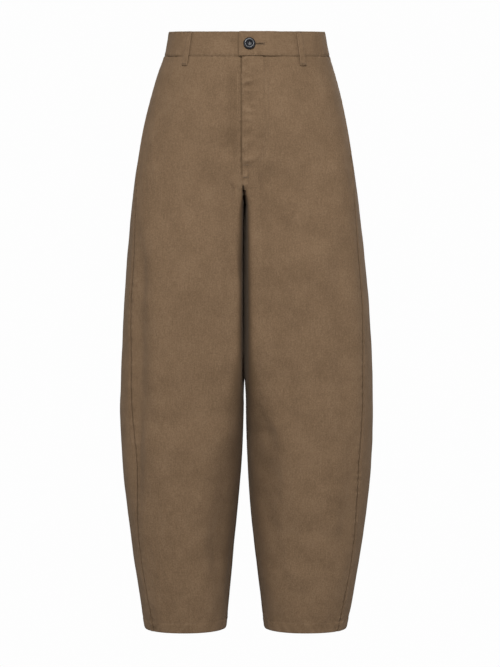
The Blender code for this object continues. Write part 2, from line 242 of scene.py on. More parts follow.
def unit(vectors: Grid) -> Grid:
    """The vectors at length 1."""
    return vectors / np.linalg.norm(vectors, axis=-1, keepdims=True)


def rounded(angle: Grid, square: Grid) -> tuple[Grid, Grid]:
    """Cosine and sine, pushed out towards the corners of a square when `square` is over 2."""
    cosine, sine = np.cos(angle), np.sin(angle)
    reach = (np.abs(cosine) ** square + np.abs(sine) ** square) ** (1.0 / square)
    return cosine / reach, sine / reach


class Waves:
    """Smooth, uneven waves over the flat pattern, the sum of many plain ones in seeded directions."""

    def __init__(self, seed: int, shortest: float, longest: float, count: int = 22) -> None:
        """Chooses the waves.

        Args:
            seed: what the directions and phases are drawn from.
            shortest: the shortest wave, in mm.
            longest: the longest wave, in mm.
            count: how many waves are added up.
        """
        draw = np.random.default_rng(seed)
        length = shortest * (longest / shortest) ** draw.random(count)
        angle = draw.random(count) * math.tau
        self.across = np.cos(angle) * math.tau / length
        self.down = np.sin(angle) * math.tau / length
        self.phase = draw.random(count) * math.tau
        self.weight = np.sqrt(length / longest)
        self.weight *= math.sqrt(2.0 / float((self.weight**2).sum()))

    def at(self, across: Grid, down: Grid) -> Grid:
        """The waves' height, about -1 to 1, at a place of the flat pattern in mm."""
        height = np.zeros(np.broadcast(across, down).shape)
        for turn_x, turn_y, phase, weight in zip(self.across, self.down, self.phase, self.weight):
            height = height + weight * np.sin(turn_x * across + turn_y * down + phase)
        return height


@dataclass(frozen=True)
class Form:
    """The outer face of the cloth on a general figure.

    It is the form that the solids have, but for the valley between the thighs, the inner planes of the lower
    legs, and the rise seam, which is closed down to the crotch here.
    """

    waist_seam: float = 41.0
    origin_drop: float = 21.5
    arc_top: float = 154.0
    crotch: float = 261.0
    hem: float = 954.0
    front_dip: float = 12.3
    back_rise: float = 9.0
    dip_fades_at: float = 230.0
    hips_end: float = 140.0
    legs_start: float = 410.0
    seat_from: float = 60.0
    seat_to: float = 250.0
    thigh_ends: float = 400.0
    waist_square: float = 2.1
    seat_square: float = 3.0
    thigh_square: float = 2.6
    hem_square: float = 2.2
    fly_edge_x: float = -5.0
    crotch_x: float = -0.7
    crotch_y: float = 8.0
    front_hook: float = 0.28
    back_hook: float = 0.8
    centre_zone: float = 0.16
    legs_part_over: float = 30.0
    seam_gap: float = 0.3
    wind: float = 7.0
    wind_depth: float = 16.0
    wind_width: float = 34.0
    wind_deep: tuple[float, float] = (-75.0, -25.0)
    wind_from: float = 500.0
    wind_to: float = 596.0
    fold_ends: float = 0.25
    eased: float = 150.0
    corner_width: float = 62.0
    corner_square: float = 11.0
    corner_eases: float = 3.0
    corner_eases_over: tuple[float, float] = (330.0, 500.0)
    corner_slides: float = 24.0
    valley_opens: tuple[float, float] = (253.0, 266.0)
    corner_depth: float = 0.985
    corner_drops: tuple[float, float, float, float] = (150.0, 235.0, 500.0, 665.0)

    def column(self, name: str, drop: Grid) -> Grid:
        """A column of SECTIONS at any drop, on a smooth curve through its rows."""
        drops = np.array([row.drop for row in SECTIONS], float)
        values = np.array([getattr(row, name) for row in SECTIONS], float)
        slopes = np.gradient(values, drops)
        drop = np.clip(drop, drops[0], drops[-1])
        row = np.clip(np.searchsorted(drops, drop) - 1, 0, len(drops) - 2)
        step = drops[row + 1] - drops[row]
        share = (drop - drops[row]) / step
        return (
            values[row] * (1 + 2 * share) * (1 - share) ** 2
            + slopes[row] * step * share * (1 - share) ** 2
            + values[row + 1] * share**2 * (3 - 2 * share)
            + slopes[row + 1] * step * share**2 * (share - 1)
        )

    def point(self, side: Side, share: Grid, level: Grid) -> tuple[Grid, Grid]:
        """A point of one half's outer face with no folds.

        Args:
            side: which half of the trousers.
            share: the way round, from the centre front or inseam (0) to the centre back or inseam (1).
            level: the drop at the side seam. Above the crotch the rows bend down to the crotch seam.

        Returns:
            The point in mm, and its drop along the cloth.
        """
        hand = side.value
        away = smooth(0.0, self.centre_zone, np.minimum(share, 1.0 - share))
        arc = self.crotch - self.arc_top
        turn = np.clip((self.crotch - level) / arc, 0.0, 1.0) * math.pi / 2
        arc_drop = np.where(level < self.arc_top, level, self.crotch - arc * (1 - np.cos(turn)))
        arc_drop = np.where(level > self.crotch, level, arc_drop)
        drop = arc_drop + (level - arc_drop) * away

        at_centre = np.sin(turn) ** np.where(share < 0.5, self.front_hook, self.back_hook)
        at_side = 1.0 - smooth(self.hips_end, self.legs_start, drop)
        off = np.clip(share / self.centre_zone, 0.0, 1.0)
        longer = self.eased * off
        eased = np.clip((self.crotch + longer - level) / (arc + longer), 0.0, 1.0) * math.pi / 2
        eased = np.sin(eased) ** (self.front_hook + (1.0 - self.front_hook) * smooth(0.0, 0.35, off))
        hip_weight = np.where(share < 0.5, eased, at_centre)
        hip_weight = hip_weight + (at_side - hip_weight) * away

        outer = self.column("left", drop) if side is LEFT else -self.column("right", drop)
        gap = self.column("gap_left", drop) if side is LEFT else self.column("gap_right", drop)
        parted = smooth(self.crotch, self.crotch + self.legs_part_over, drop)
        gap = self.crotch_x + (gap - self.crotch_x) * parted + hand * self.seam_gap / 2
        front, back = self.column("front", drop), self.column("back", drop)

        seat = smooth(self.seat_from, self.seat_to, drop)
        square = self.waist_square + (self.seat_square - self.waist_square) * seat
        cosine, sine = rounded(math.pi * (0.5 - share), square)
        centre = np.where(share < 0.5, self.fly_edge_x, 0.0)
        hip_x = centre + (outer - centre) * cosine
        hip_y = np.where(sine > 0, front * sine, -back * sine)

        shin = smooth(self.thigh_ends, self.hem, drop)
        square = self.thigh_square + (self.hem_square - self.thigh_square) * shin
        angle = math.pi * (1.0 - 2.0 * share) - np.radians(self.column("twist", drop))
        cosine, sine = rounded(angle, square)
        leg_x = (outer + gap) / 2 + (outer - gap) / 2 * cosine
        depth = np.where(sine > 0, front - self.crotch_y, self.crotch_y - back)
        leg_y = self.crotch_y + depth * sine

        x = leg_x + (hip_x - leg_x) * hip_weight
        y = leg_y + (hip_y - leg_y) * hip_weight
        first_x = gap + (self.fly_edge_x - gap) * at_centre
        first_y = self.crotch_y + (front - self.crotch_y) * np.where(share < 0.5, eased, at_centre)
        slides = 1.0 - smooth(self.crotch - self.corner_slides, self.crotch + self.corner_slides, drop)
        corner_x = gap + (self.fly_edge_x - gap) * slides
        corner = self.squared_corner(hand * (x - corner_x), y, first_y, front, drop)
        y = np.where(share < 0.5, corner, y)
        y = y + self.turned_in(side, share, hand * (x - gap), drop)
        between = smooth(self.arc_top, self.crotch, drop)
        between = between * (1.0 - smooth(self.wind_from, self.wind_to, drop))
        bend = np.tanh((y - self.crotch_y) / self.wind_depth) * bell(x, self.wind_width)
        x = x + self.wind * between * bend * smooth(*self.wind_deep, y)

        facing = np.sin(math.pi * (0.5 - share))
        dip = np.where(facing > 0, self.front_dip, self.back_rise) * facing
        dip = dip * (1.0 - smooth(self.waist_seam, self.dip_fades_at, level))
        return np.stack([x, y, self.origin_drop - drop - dip], axis=-1), drop

    def squared_corner(self, out: Grid, y: Grid, first_y: Grid, front: Grid, drop: Grid) -> Grid:
        """Fills out a thigh's inner front corner, so that only a narrow dark valley is left between the legs.

        Args:
            out: how far a point lies outwards from the centre edge, in mm.
            y: the point's depth.
            first_y: the centre edge's depth.
            front: the depth of the front at its furthest.
            drop: the point's drop.

        Returns:
            The point's new depth.
        """
        out = np.clip(out / self.corner_width, 0.0, 1.0)
        power = self.corner_square - self.corner_eases * smooth(*self.corner_eases_over, drop)
        curve = 1.0 - (1.0 - (1.0 - out) ** power) ** (1.0 / power)
        flat = front * self.corner_depth
        squared = flat + (first_y - flat) * curve * smooth(*self.valley_opens, drop)
        top, full, fades, ends = self.corner_drops
        weight = smooth(top, full, drop) * (1.0 - smooth(fades, ends, drop)) * (1.0 - smooth(0.3, 1.0, out))
        return y + np.minimum(squared - y, 0.0) * weight

    def turned_in(self, side: Side, share: Grid, out: Grid, drop: Grid) -> Grid:
        """How far the lower leg's inner front lies back, where it turns to face the other leg.

        Args:
            side: which leg.
            share: the way round.
            out: how far a point lies outwards from the leg's inner edge, in mm.
            drop: the point's drop.

        Returns:
            The depth to add, in mm.
        """
        drops, widths, slopes = zip(*((row.drop, row.width, row.slope) for row in INNER_PLANES if row.side is side))
        width, slope = np.interp(drop, drops, widths), np.interp(drop, drops, slopes)
        soft = 5.0
        past = soft * np.logaddexp(0.0, (width - out) / soft)
        past = np.minimum(past, width)
        round_by = np.where(share < 0.5, share, share - 1.0)
        return slope * past * smooth(-0.09, 0.0, round_by) * (1.0 - smooth(0.2, 0.3, round_by))

    def normal(self, side: Side, share: Grid, level: Grid) -> Grid:
        """The outward normal of the unfolded face."""
        step = 0.002
        across = self.point(side, share + step, level)[0] - self.point(side, share - step, level)[0]
        down = self.point(side, share, level + 0.5)[0] - self.point(side, share, level - 0.5)[0]
        return unit(np.cross(down, across) * side.value)

    def half_girth(self, drop: float) -> float:
        """Length round half of the hips' ring, from the centre front to the centre back."""
        depth = (self.column("back", drop) - self.column("front", drop)) / 2
        return float(math.pi / 2 * (self.column("left", drop) + depth))

    def leg_girth(self, drop: Grid) -> Grid:
        """Length round one leg's ring."""
        width = self.column("left", drop) - self.column("gap_left", drop)
        return math.pi / 2 * (width + self.column("back", drop) - self.column("front", drop))

    def folds(self, table: Iterable[Fold], side: Side, share: Grid, drop: Grid) -> Grid:
        """How far a table's folds push the cloth out (or in, below 0) at a place."""
        height = np.zeros_like(share)
        for fold in table:
            if fold.side is not side:
                continue
            along = (drop - fold.drop0) / (fold.drop1 - fold.drop0)
            middle = fold.share0 + (fold.share1 - fold.share0) * np.clip(along, 0, 1)
            across = (share - middle) * self.leg_girth(drop) / fold.width
            ends = smooth(0.0, self.fold_ends, along)
            ends = ends * (1.0 - smooth(1.0 - self.fold_ends, 1.0, along))
            height = height + fold.height * ends * np.exp(-0.5 * across**2)
        return height


FORM = Form()


# ---------------------------------------------------------------- finishes


class Slot(Enum):
    """Which kind of finish a piece takes."""

    TWILL = "twill"
    THREAD = "thread"
    BUTTON = "button"


@dataclass(frozen=True)
class ClothFinish:
    """Brown cotton twill with a soft, dry surface.

    The three colours are linear: the deep one where the dye took and in painted shade, in grooves, along seams,
    by the fly and in the valley between the thighs; the main one; and the worn one on ridges and seam edges.
    """

    deep: tuple[float, float, float] = (0.108, 0.066, 0.034)
    main: tuple[float, float, float] = (0.146, 0.091, 0.050)
    worn: tuple[float, float, float] = (0.186, 0.121, 0.070)
    rough: float = 0.88
    rough_change: float = 0.07
    sheen: float = 0.08
    sheen_rough: float = 0.45
    twill_period: float = 0.0011
    twill_slope: float = 63.0
    twill_bend: float = 0.0006
    bump: float = 0.00018
    mottle: float = 28.0


@dataclass(frozen=True)
class ThreadFinish:
    """Sewing thread a little lighter and smoother than the cloth."""

    colour: tuple[float, float, float] = (0.135, 0.088, 0.052)
    rough: float = 0.7


@dataclass(frozen=True)
class ButtonFinish:
    """Near-black polished resin."""

    colour: tuple[float, float, float] = (0.003, 0.0034, 0.006)
    streak: tuple[float, float, float] = (0.006, 0.007, 0.011)
    rough: float = 0.34
    coat: float = 0.05


class NodeGraph:
    """Adds nodes to a shader tree with less writing."""

    def __init__(self, tree: bpy.types.NodeTree) -> None:
        """Takes the tree that the nodes go in."""
        self.tree = tree

    def add(self, kind: str, **values: object) -> bpy.types.Node:
        """A new node, with its attributes and its unlinked inputs set.

        Args:
            kind: the node's type.
            values: attributes of the node by name, and inputs as `in_0`, `in_Scale` and so on.

        Returns:
            The node.
        """
        node = self.tree.nodes.new(kind)
        for key, value in values.items():
            if not key.startswith("in_"):
                setattr(node, key, value)
        for key, value in values.items():
            if key.startswith("in_"):
                name = key[3:].replace("_", " ")
                socket = node.inputs[int(name) if name.isdigit() else name]
                socket.default_value = value
        return node

    def link(self, source: bpy.types.NodeSocket, target: bpy.types.NodeSocket) -> None:
        """Links one socket to another."""
        self.tree.links.new(source, target)

    def noise(self, place: bpy.types.NodeSocket, **values: object) -> bpy.types.NodeSocket:
        """A noise texture's value at a place."""
        node = self.add("ShaderNodeTexNoise", **values)
        self.link(place, node.inputs["Vector"])
        return node.outputs[0]

    def total(self, *parts: tuple[bpy.types.NodeSocket, float]) -> bpy.types.NodeSocket:
        """The sum of sockets, each times its weight."""
        scaled = [self.math("MULTIPLY", socket, weight) for socket, weight in parts]
        found = scaled[0]
        for socket in scaled[1:]:
            found = self.math("ADD", found, socket)
        return found

    def white_to_camera(
        self, lit: bpy.types.NodeSocket, white: bpy.types.NodeSocket, out: bpy.types.NodeSocket
    ) -> None:
        """Shows one shader to the camera and gives the other to everything else."""
        seen, mix = self.add("ShaderNodeLightPath"), self.add("ShaderNodeMixShader")
        for place, socket in enumerate((seen.outputs["Is Camera Ray"], lit, white)):
            self.link(socket, mix.inputs[place])
        self.link(mix.outputs[0], out)

    def math(self, how: str, first: object, second: object = 0.0) -> bpy.types.NodeSocket:
        """A maths node's result, where each side is a socket or a number."""
        node = self.tree.nodes.new("ShaderNodeMath")
        node.operation = how
        for place, value in enumerate((first, second)):
            if isinstance(value, bpy.types.NodeSocket):
                self.link(value, node.inputs[place])
            else:
                node.inputs[place].default_value = value
        return node.outputs[0]


def cloth_group(finish: ClothFinish) -> bpy.types.NodeTree:
    """The twill's colour, roughness and relief, as one shared group.

    Args:
        finish: the cloth's colours and sizes.

    Returns:
        A group whose outputs are Color, Roughness and Height.
    """
    tree = bpy.data.node_groups.new("twill_cloth", "ShaderNodeTree")
    for name, kind in (("Color", "Color"), ("Roughness", "Float"), ("Height", "Float")):
        tree.interface.new_socket(name, in_out="OUTPUT", socket_type=f"NodeSocket{kind}")
    graph = NodeGraph(tree)
    place = graph.add("ShaderNodeTexCoord").outputs["Object"]
    pattern = graph.add("ShaderNodeUVMap", uv_map="pattern").outputs["UV"]

    turned = graph.add("ShaderNodeMapping", vector_type="POINT")
    turned.inputs["Rotation"].default_value = (0.0, 0.0, math.radians(finish.twill_slope))
    graph.link(pattern, turned.inputs["Vector"])
    split = graph.add("ShaderNodeSeparateXYZ")
    graph.link(turned.outputs["Vector"], split.inputs[0])
    bent = graph.noise(pattern, in_Scale=260.0, in_Detail=1.0)
    along = graph.math("ADD", split.outputs["X"], graph.math("MULTIPLY", bent, finish.twill_bend))
    rib = graph.math("SINE", graph.math("MULTIPLY", along, math.tau / finish.twill_period))
    fibre = graph.noise(pattern, in_Scale=2300.0, in_Detail=2.0)
    slub = graph.add("ShaderNodeMapping", vector_type="POINT")
    slub.inputs["Scale"].default_value = (900.0, 55.0, 1.0)
    graph.link(pattern, slub.inputs["Vector"])
    warp = graph.noise(slub.outputs["Vector"], in_Scale=1.0, in_Detail=2.0)
    height = graph.total((rib, 0.38), (fibre, 0.9), (warp, 0.6))

    wide = graph.noise(place, in_Scale=finish.mottle, in_Detail=3.0, in_Roughness=0.6)
    fine = graph.noise(place, in_Scale=finish.mottle * 16, in_Detail=3.0, in_Roughness=0.7)
    wide, fine, slubs = (graph.math("SUBTRACT", noise, 0.5) for noise in (wide, fine, warp))
    # The wear and painted shade of each vertex: lighter where the cloth is worn, darker where shade is painted in.
    wear_and_shade = graph.add("ShaderNodeAttribute", attribute_name="wear_and_shade").outputs["Fac"]
    shade = graph.total((wide, 0.9), (fine, 1.7), (slubs, 0.7), (rib, 0.10))
    shade = graph.math("ADD", shade, wear_and_shade)
    ramp = graph.add("ShaderNodeValToRGB")
    stops = ramp.color_ramp.elements
    stops[0].color, stops[1].color = (*finish.deep, 1.0), (*finish.worn, 1.0)
    stops.new(0.5).color = (*finish.main, 1.0)
    graph.link(graph.math("ADD", shade, 0.5), ramp.inputs[0])

    out = graph.add("NodeGroupOutput")
    graph.link(ramp.outputs[0], out.inputs["Color"])
    rough = graph.math("MULTIPLY", shade, finish.rough_change)
    graph.link(graph.math("ADD", rough, finish.rough), out.inputs["Roughness"])
    graph.link(height, out.inputs["Height"])
    return tree


def button_group(finish: ButtonFinish) -> bpy.types.NodeTree:
    """The button's faint streaks, as a group whose output is Color.

    Args:
        finish: the button's colours.

    Returns:
        The group.
    """
    tree = bpy.data.node_groups.new("resin_streaks", "ShaderNodeTree")
    tree.interface.new_socket("Color", in_out="OUTPUT", socket_type="NodeSocketColor")
    graph = NodeGraph(tree)
    place = graph.add("ShaderNodeTexCoord").outputs["Object"]
    noise = graph.noise(place, in_Scale=170.0, in_Detail=2.0, in_Distortion=1.5)
    mix = graph.add("ShaderNodeMix", data_type="RGBA")
    mix.inputs["A"].default_value = (*finish.colour, 1.0)
    mix.inputs["B"].default_value = (*finish.streak, 1.0)
    graph.link(noise, mix.inputs["Factor"])
    out = graph.add("NodeGroupOutput")
    graph.link(mix.outputs["Result"], out.inputs["Color"])
    return tree


class Finishes:
    """The three materials of the trousers, made once and shared."""

    def __init__(self, cloth: ClothFinish, thread: ThreadFinish, button: ButtonFinish) -> None:
        """Makes the materials.

        Args:
            cloth: the twill's looks.
            thread: the thread's looks.
            button: the button's looks.
        """
        self.made = {
            Slot.TWILL: self.twill(cloth),
            Slot.THREAD: self.thread(thread),
            Slot.BUTTON: self.resin(button),
        }

    def __getitem__(self, kind: Slot) -> bpy.types.Material:
        """The material of one kind."""
        return self.made[kind]

    @staticmethod
    def blank(name: str, values: dict[str, object]) -> tuple[bpy.types.Material, NodeGraph, bpy.types.Node]:
        """A new material with only its Principled shader, whose own sockets have these values."""
        material = bpy.data.materials.new(name)
        material.use_nodes = True
        shader = material.node_tree.nodes["Principled BSDF"]
        for socket, value in values.items():
            shader.inputs[socket].default_value = value
        return material, NodeGraph(material.node_tree), shader

    def twill(self, finish: ClothFinish) -> bpy.types.Material:
        """The cloth."""
        values = {
            "Specular IOR Level": 0.25,
            "Sheen Weight": finish.sheen,
            "Sheen Roughness": finish.sheen_rough,
            "Sheen Tint": (0.62, 0.52, 0.42, 1.0),
        }
        material, graph, shader = self.blank("brown_twill", values)
        group = graph.add("ShaderNodeGroup", node_tree=cloth_group(finish))
        bump = graph.add("ShaderNodeBump", in_Strength=0.55, in_Distance=finish.bump)
        graph.link(group.outputs["Color"], shader.inputs["Base Color"])
        graph.link(group.outputs["Roughness"], shader.inputs["Roughness"])
        graph.link(group.outputs["Height"], bump.inputs["Height"])
        graph.link(bump.outputs["Normal"], shader.inputs["Normal"])
        return material

    def thread(self, finish: ThreadFinish) -> bpy.types.Material:
        """The sewing thread."""
        colour = (*finish.colour, 1.0)
        values = {"Base Color": colour, "Roughness": finish.rough, "Specular IOR Level": 0.3}
        return self.blank("brown_thread", values)[0]

    def resin(self, finish: ButtonFinish) -> bpy.types.Material:
        """The button's resin."""
        values = {
            "Roughness": finish.rough,
            "Specular IOR Level": 0.3,
            "Coat Weight": finish.coat,
            "Coat Roughness": 0.12,
        }
        material, graph, shader = self.blank("black_resin", values)
        group = graph.add("ShaderNodeGroup", node_tree=button_group(finish))
        graph.link(group.outputs["Color"], shader.inputs["Base Color"])
        return material


# ---------------------------------------------------------------- making meshes


@dataclass
class Workshop:
    """Turns grids of points into pieces that ride on the trousers."""

    finishes: Finishes
    collection: bpy.types.Collection
    triangles: int = 0

    def piece(
        self,
        name: str,
        points: Grid,
        faces: Grid,
        kind: Slot,
        uv: Grid | None = None,
        wear_and_shade: Grid | None = None,
        sharp: float = 55.0,
    ) -> bpy.types.Object:
        """A mesh piece in metres, made from points in mm.

        Args:
            name: the piece's name.
            points: its vertices in mm.
            faces: its quads or triangles, as rows of vertex numbers.
            kind: which finish it takes.
            uv: each vertex's place on the flat pattern, in metres.
            wear_and_shade: each vertex's wear and painted shade, which lighten the cloth above 0 and darken it
                below.
            sharp: edges over this angle in degrees are shaded sharp.

        Returns:
            The piece, which rides on the root body.
        """
        mesh = bpy.data.meshes.new(name)
        sides = faces.shape[1]
        mesh.vertices.add(len(points))
        mesh.vertices.foreach_set("co", (points * MM).astype(np.float32).ravel())
        mesh.loops.add(faces.size)
        mesh.loops.foreach_set("vertex_index", faces.astype(np.int32).ravel())
        mesh.polygons.add(len(faces))
        mesh.polygons.foreach_set("loop_start", np.arange(0, faces.size, sides, dtype=np.int32))
        if uv is not None:
            layer = mesh.uv_layers.new(name="pattern")
            layer.data.foreach_set("uv", uv[faces.ravel()].astype(np.float32).ravel())
        if wear_and_shade is not None:
            given = mesh.attributes.new("wear_and_shade", "FLOAT", "POINT")
            given.data.foreach_set("value", wear_and_shade.astype(np.float32).ravel())
        mesh.update()
        mesh.validate()
        mesh.shade_smooth()
        mesh.set_sharp_from_angle(angle=math.radians(sharp))
        mesh.materials.append(self.finishes[kind])
        made = bpy.data.objects.new(name, mesh)
        self.collection.objects.link(made)
        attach(made, "root")
        count = len(faces) * (sides - 2)
        self.triangles += count
        LOG.info("%s: %d triangles", name, count)
        return made

    def shell(
        self,
        name: str,
        outer: Grid,
        inner: Grid,
        uv: Grid,
        wear_and_shade: Grid,
        slot: str,
        flip: bool,
    ) -> bpy.types.Object:
        """A closed thin shell of cloth between two grids of points.

        Args:
            name: the piece's name.
            outer: the outer face's points in mm, rows by columns.
            inner: the inner face's points in mm.
            uv: the flat pattern's place of each point, in metres.
            wear_and_shade: the wear and painted shade of each point.
            slot: the record's material slot; not used.
            flip: whether the columns run clockwise seen from outside.

        Returns:
            The piece.
        """
        rows, columns = outer.shape[:2]
        number = np.arange(rows * columns).reshape(rows, columns)
        quads = np.stack([number[:-1, :-1], number[1:, :-1], number[1:, 1:], number[:-1, 1:]], axis=-1)
        quads = quads.reshape(-1, 4)
        ring = np.concatenate([number[0, :-1], number[:-1, -1], number[-1, :0:-1], number[:0:-1, 0]])
        following = np.roll(ring, -1)
        step = rows * columns
        rim = np.stack([ring, following, following + step, ring + step], axis=-1)
        faces = np.concatenate([quads, quads[:, ::-1] + step, rim])
        if flip:
            faces = faces[:, ::-1]
        points = np.concatenate([outer.reshape(-1, 3), inner.reshape(-1, 3)])
        places = np.concatenate([uv.reshape(-1, 2)] * 2)
        # The outer face takes the wear and painted shade, and the inner face none.
        worn = np.concatenate([wear_and_shade.ravel(), wear_and_shade.ravel() * 0.0])
        return self.piece(name, points, faces, Slot.TWILL, places, worn)


@dataclass(frozen=True)
class StitchStyle:
    """How a row of stitches is sewn, in mm."""

    pitch: float = 3.1
    length: float = 2.45
    thick: float = 0.42
    stand: float = 0.16
    uneven: float = 0.12


TOPSTITCH = StitchStyle()
TACKED = StitchStyle(pitch=0.62, length=0.62, thick=0.5, stand=0.22, uneven=0.05)


class StitchRow:
    """Collects stitches along paths and makes them one piece."""

    SIDES = 5
    RINGS = (0.12, 0.5, 0.88)
    SWELL = (0.75, 1.0, 0.75)

    def __init__(self, seed: int) -> None:
        """Starts an empty set of stitches, with its own seed for their unevenness."""
        self.draw = np.random.default_rng(seed)
        self.starts: list[Grid] = []
        self.ends: list[Grid] = []
        self.ups: list[Grid] = []
        self.thick: list[Grid] = []

    def sew(self, path: Grid, normals: Grid, style: StitchStyle = TOPSTITCH) -> None:
        """Sews stitches end to end along a path.

        Args:
            path: points in mm on the cloth's face.
            normals: the cloth's outward normal at each point.
            style: the stitches' sizes.
        """
        run = run_of(path)
        count = max(1, int(run[-1] / style.pitch))
        pitch = run[-1] / count
        start = (np.arange(count) + 0.5) * pitch - style.length / 2
        start = start + self.draw.normal(0.0, style.uneven, count)
        ends = []
        for place in (start, start + style.length):
            ends.append((on_path(path, run, place), unit(on_path(normals, run, place))))
        (first, up0), (last, up1) = ends
        self.add(first + up0 * style.stand, last + up1 * style.stand, up0 + up1, style.thick)

    def satin(self, path: Grid, normals: Grid, width: float, style: StitchStyle = TACKED) -> None:
        """Sews close stitches across a path, as a bartack or a buttonhole's edge has.

        Args:
            path: points in mm on the cloth's face.
            normals: the cloth's outward normal at each point.
            width: how wide the row is, in mm.
            style: the stitches' spacing and thickness.
        """
        run = run_of(path)
        place = np.arange(0.0, run[-1] + 0.01, style.pitch)
        point, up = on_path(path, run, place), on_path(normals, run, place)
        across = unit(np.cross(np.gradient(point, axis=0), up))
        half = width / 2 * (1.0 + self.draw.normal(0.0, 0.06, len(place)))[:, None]
        raised = point + up * style.stand
        self.add(raised - across * half, raised + across * half, up, style.thick)

    def add(self, start: Grid, end: Grid, up: Grid, thick: float) -> None:
        """Adds single stitches from their ends, outward normals and thickness, all in mm."""
        self.starts.append(start)
        self.ends.append(end)
        self.ups.append(up)
        self.thick.append(np.full(len(start), thick))

    def make(self, shop: Workshop, name: str, slot: str) -> bpy.types.Object:
        """All the stitches as one piece.

        Args:
            shop: where pieces are made.
            name: the piece's name.
            slot: the record's material slot of the cloth that it is sewn to; not used.

        Returns:
            The piece.
        """
        start, end = np.concatenate(self.starts), np.concatenate(self.ends)
        up, thick = np.concatenate(self.ups), np.concatenate(self.thick)
        way = end - start
        length = np.linalg.norm(way, axis=-1, keepdims=True)
        way = way / np.maximum(length, 1e-6)
        up = up - way * (up * way).sum(-1, keepdims=True)
        up = up / np.maximum(np.linalg.norm(up, axis=-1, keepdims=True), 1e-6)
        across = np.cross(way, up)
        middle = (start + end) / 2 + up * 0.07
        rings = []
        for share, swell in zip(self.RINGS, self.SWELL):
            bow = 4 * share * (1 - share)
            centre = (start + (end - start) * share) * (1 - bow) + middle * bow
            centre = centre if share == 0.5 else start + (end - start) * share
            for turn in range(self.SIDES):
                angle = math.tau * turn / self.SIDES
                spoke = across * math.cos(angle) + up * math.sin(angle) * 0.85
                rings.append(centre + spoke * (thick / 2 * swell)[:, None])
        points = np.stack([start - up * 0.1, *rings, end - up * 0.1], axis=1)
        faces = np.array(self.faces())
        each = points.shape[1]
        offset = np.arange(len(start))[:, None, None] * each
        faces = (faces[None] + offset).reshape(-1, 3)
        return shop.piece(name, points.reshape(-1, 3), faces, Slot.THREAD, sharp=180.0)

    def faces(self) -> list[list[int]]:
        """One stitch's triangles, with the two ends first and last."""
        sides, found = self.SIDES, []
        last = 1 + sides * len(self.RINGS)
        for turn in range(sides):
            after = (turn + 1) % sides
            found.append([0, 1 + after, 1 + turn])
            for ring in range(len(self.RINGS) - 1):
                low, high = 1 + ring * sides, 1 + (ring + 1) * sides
                found.append([low + turn, low + after, high + after])
                found.append([low + turn, high + after, high + turn])
            found.append([last, last - sides + turn, last - sides + after])
        return found


# ---------------------------------------------------------------- the cloth


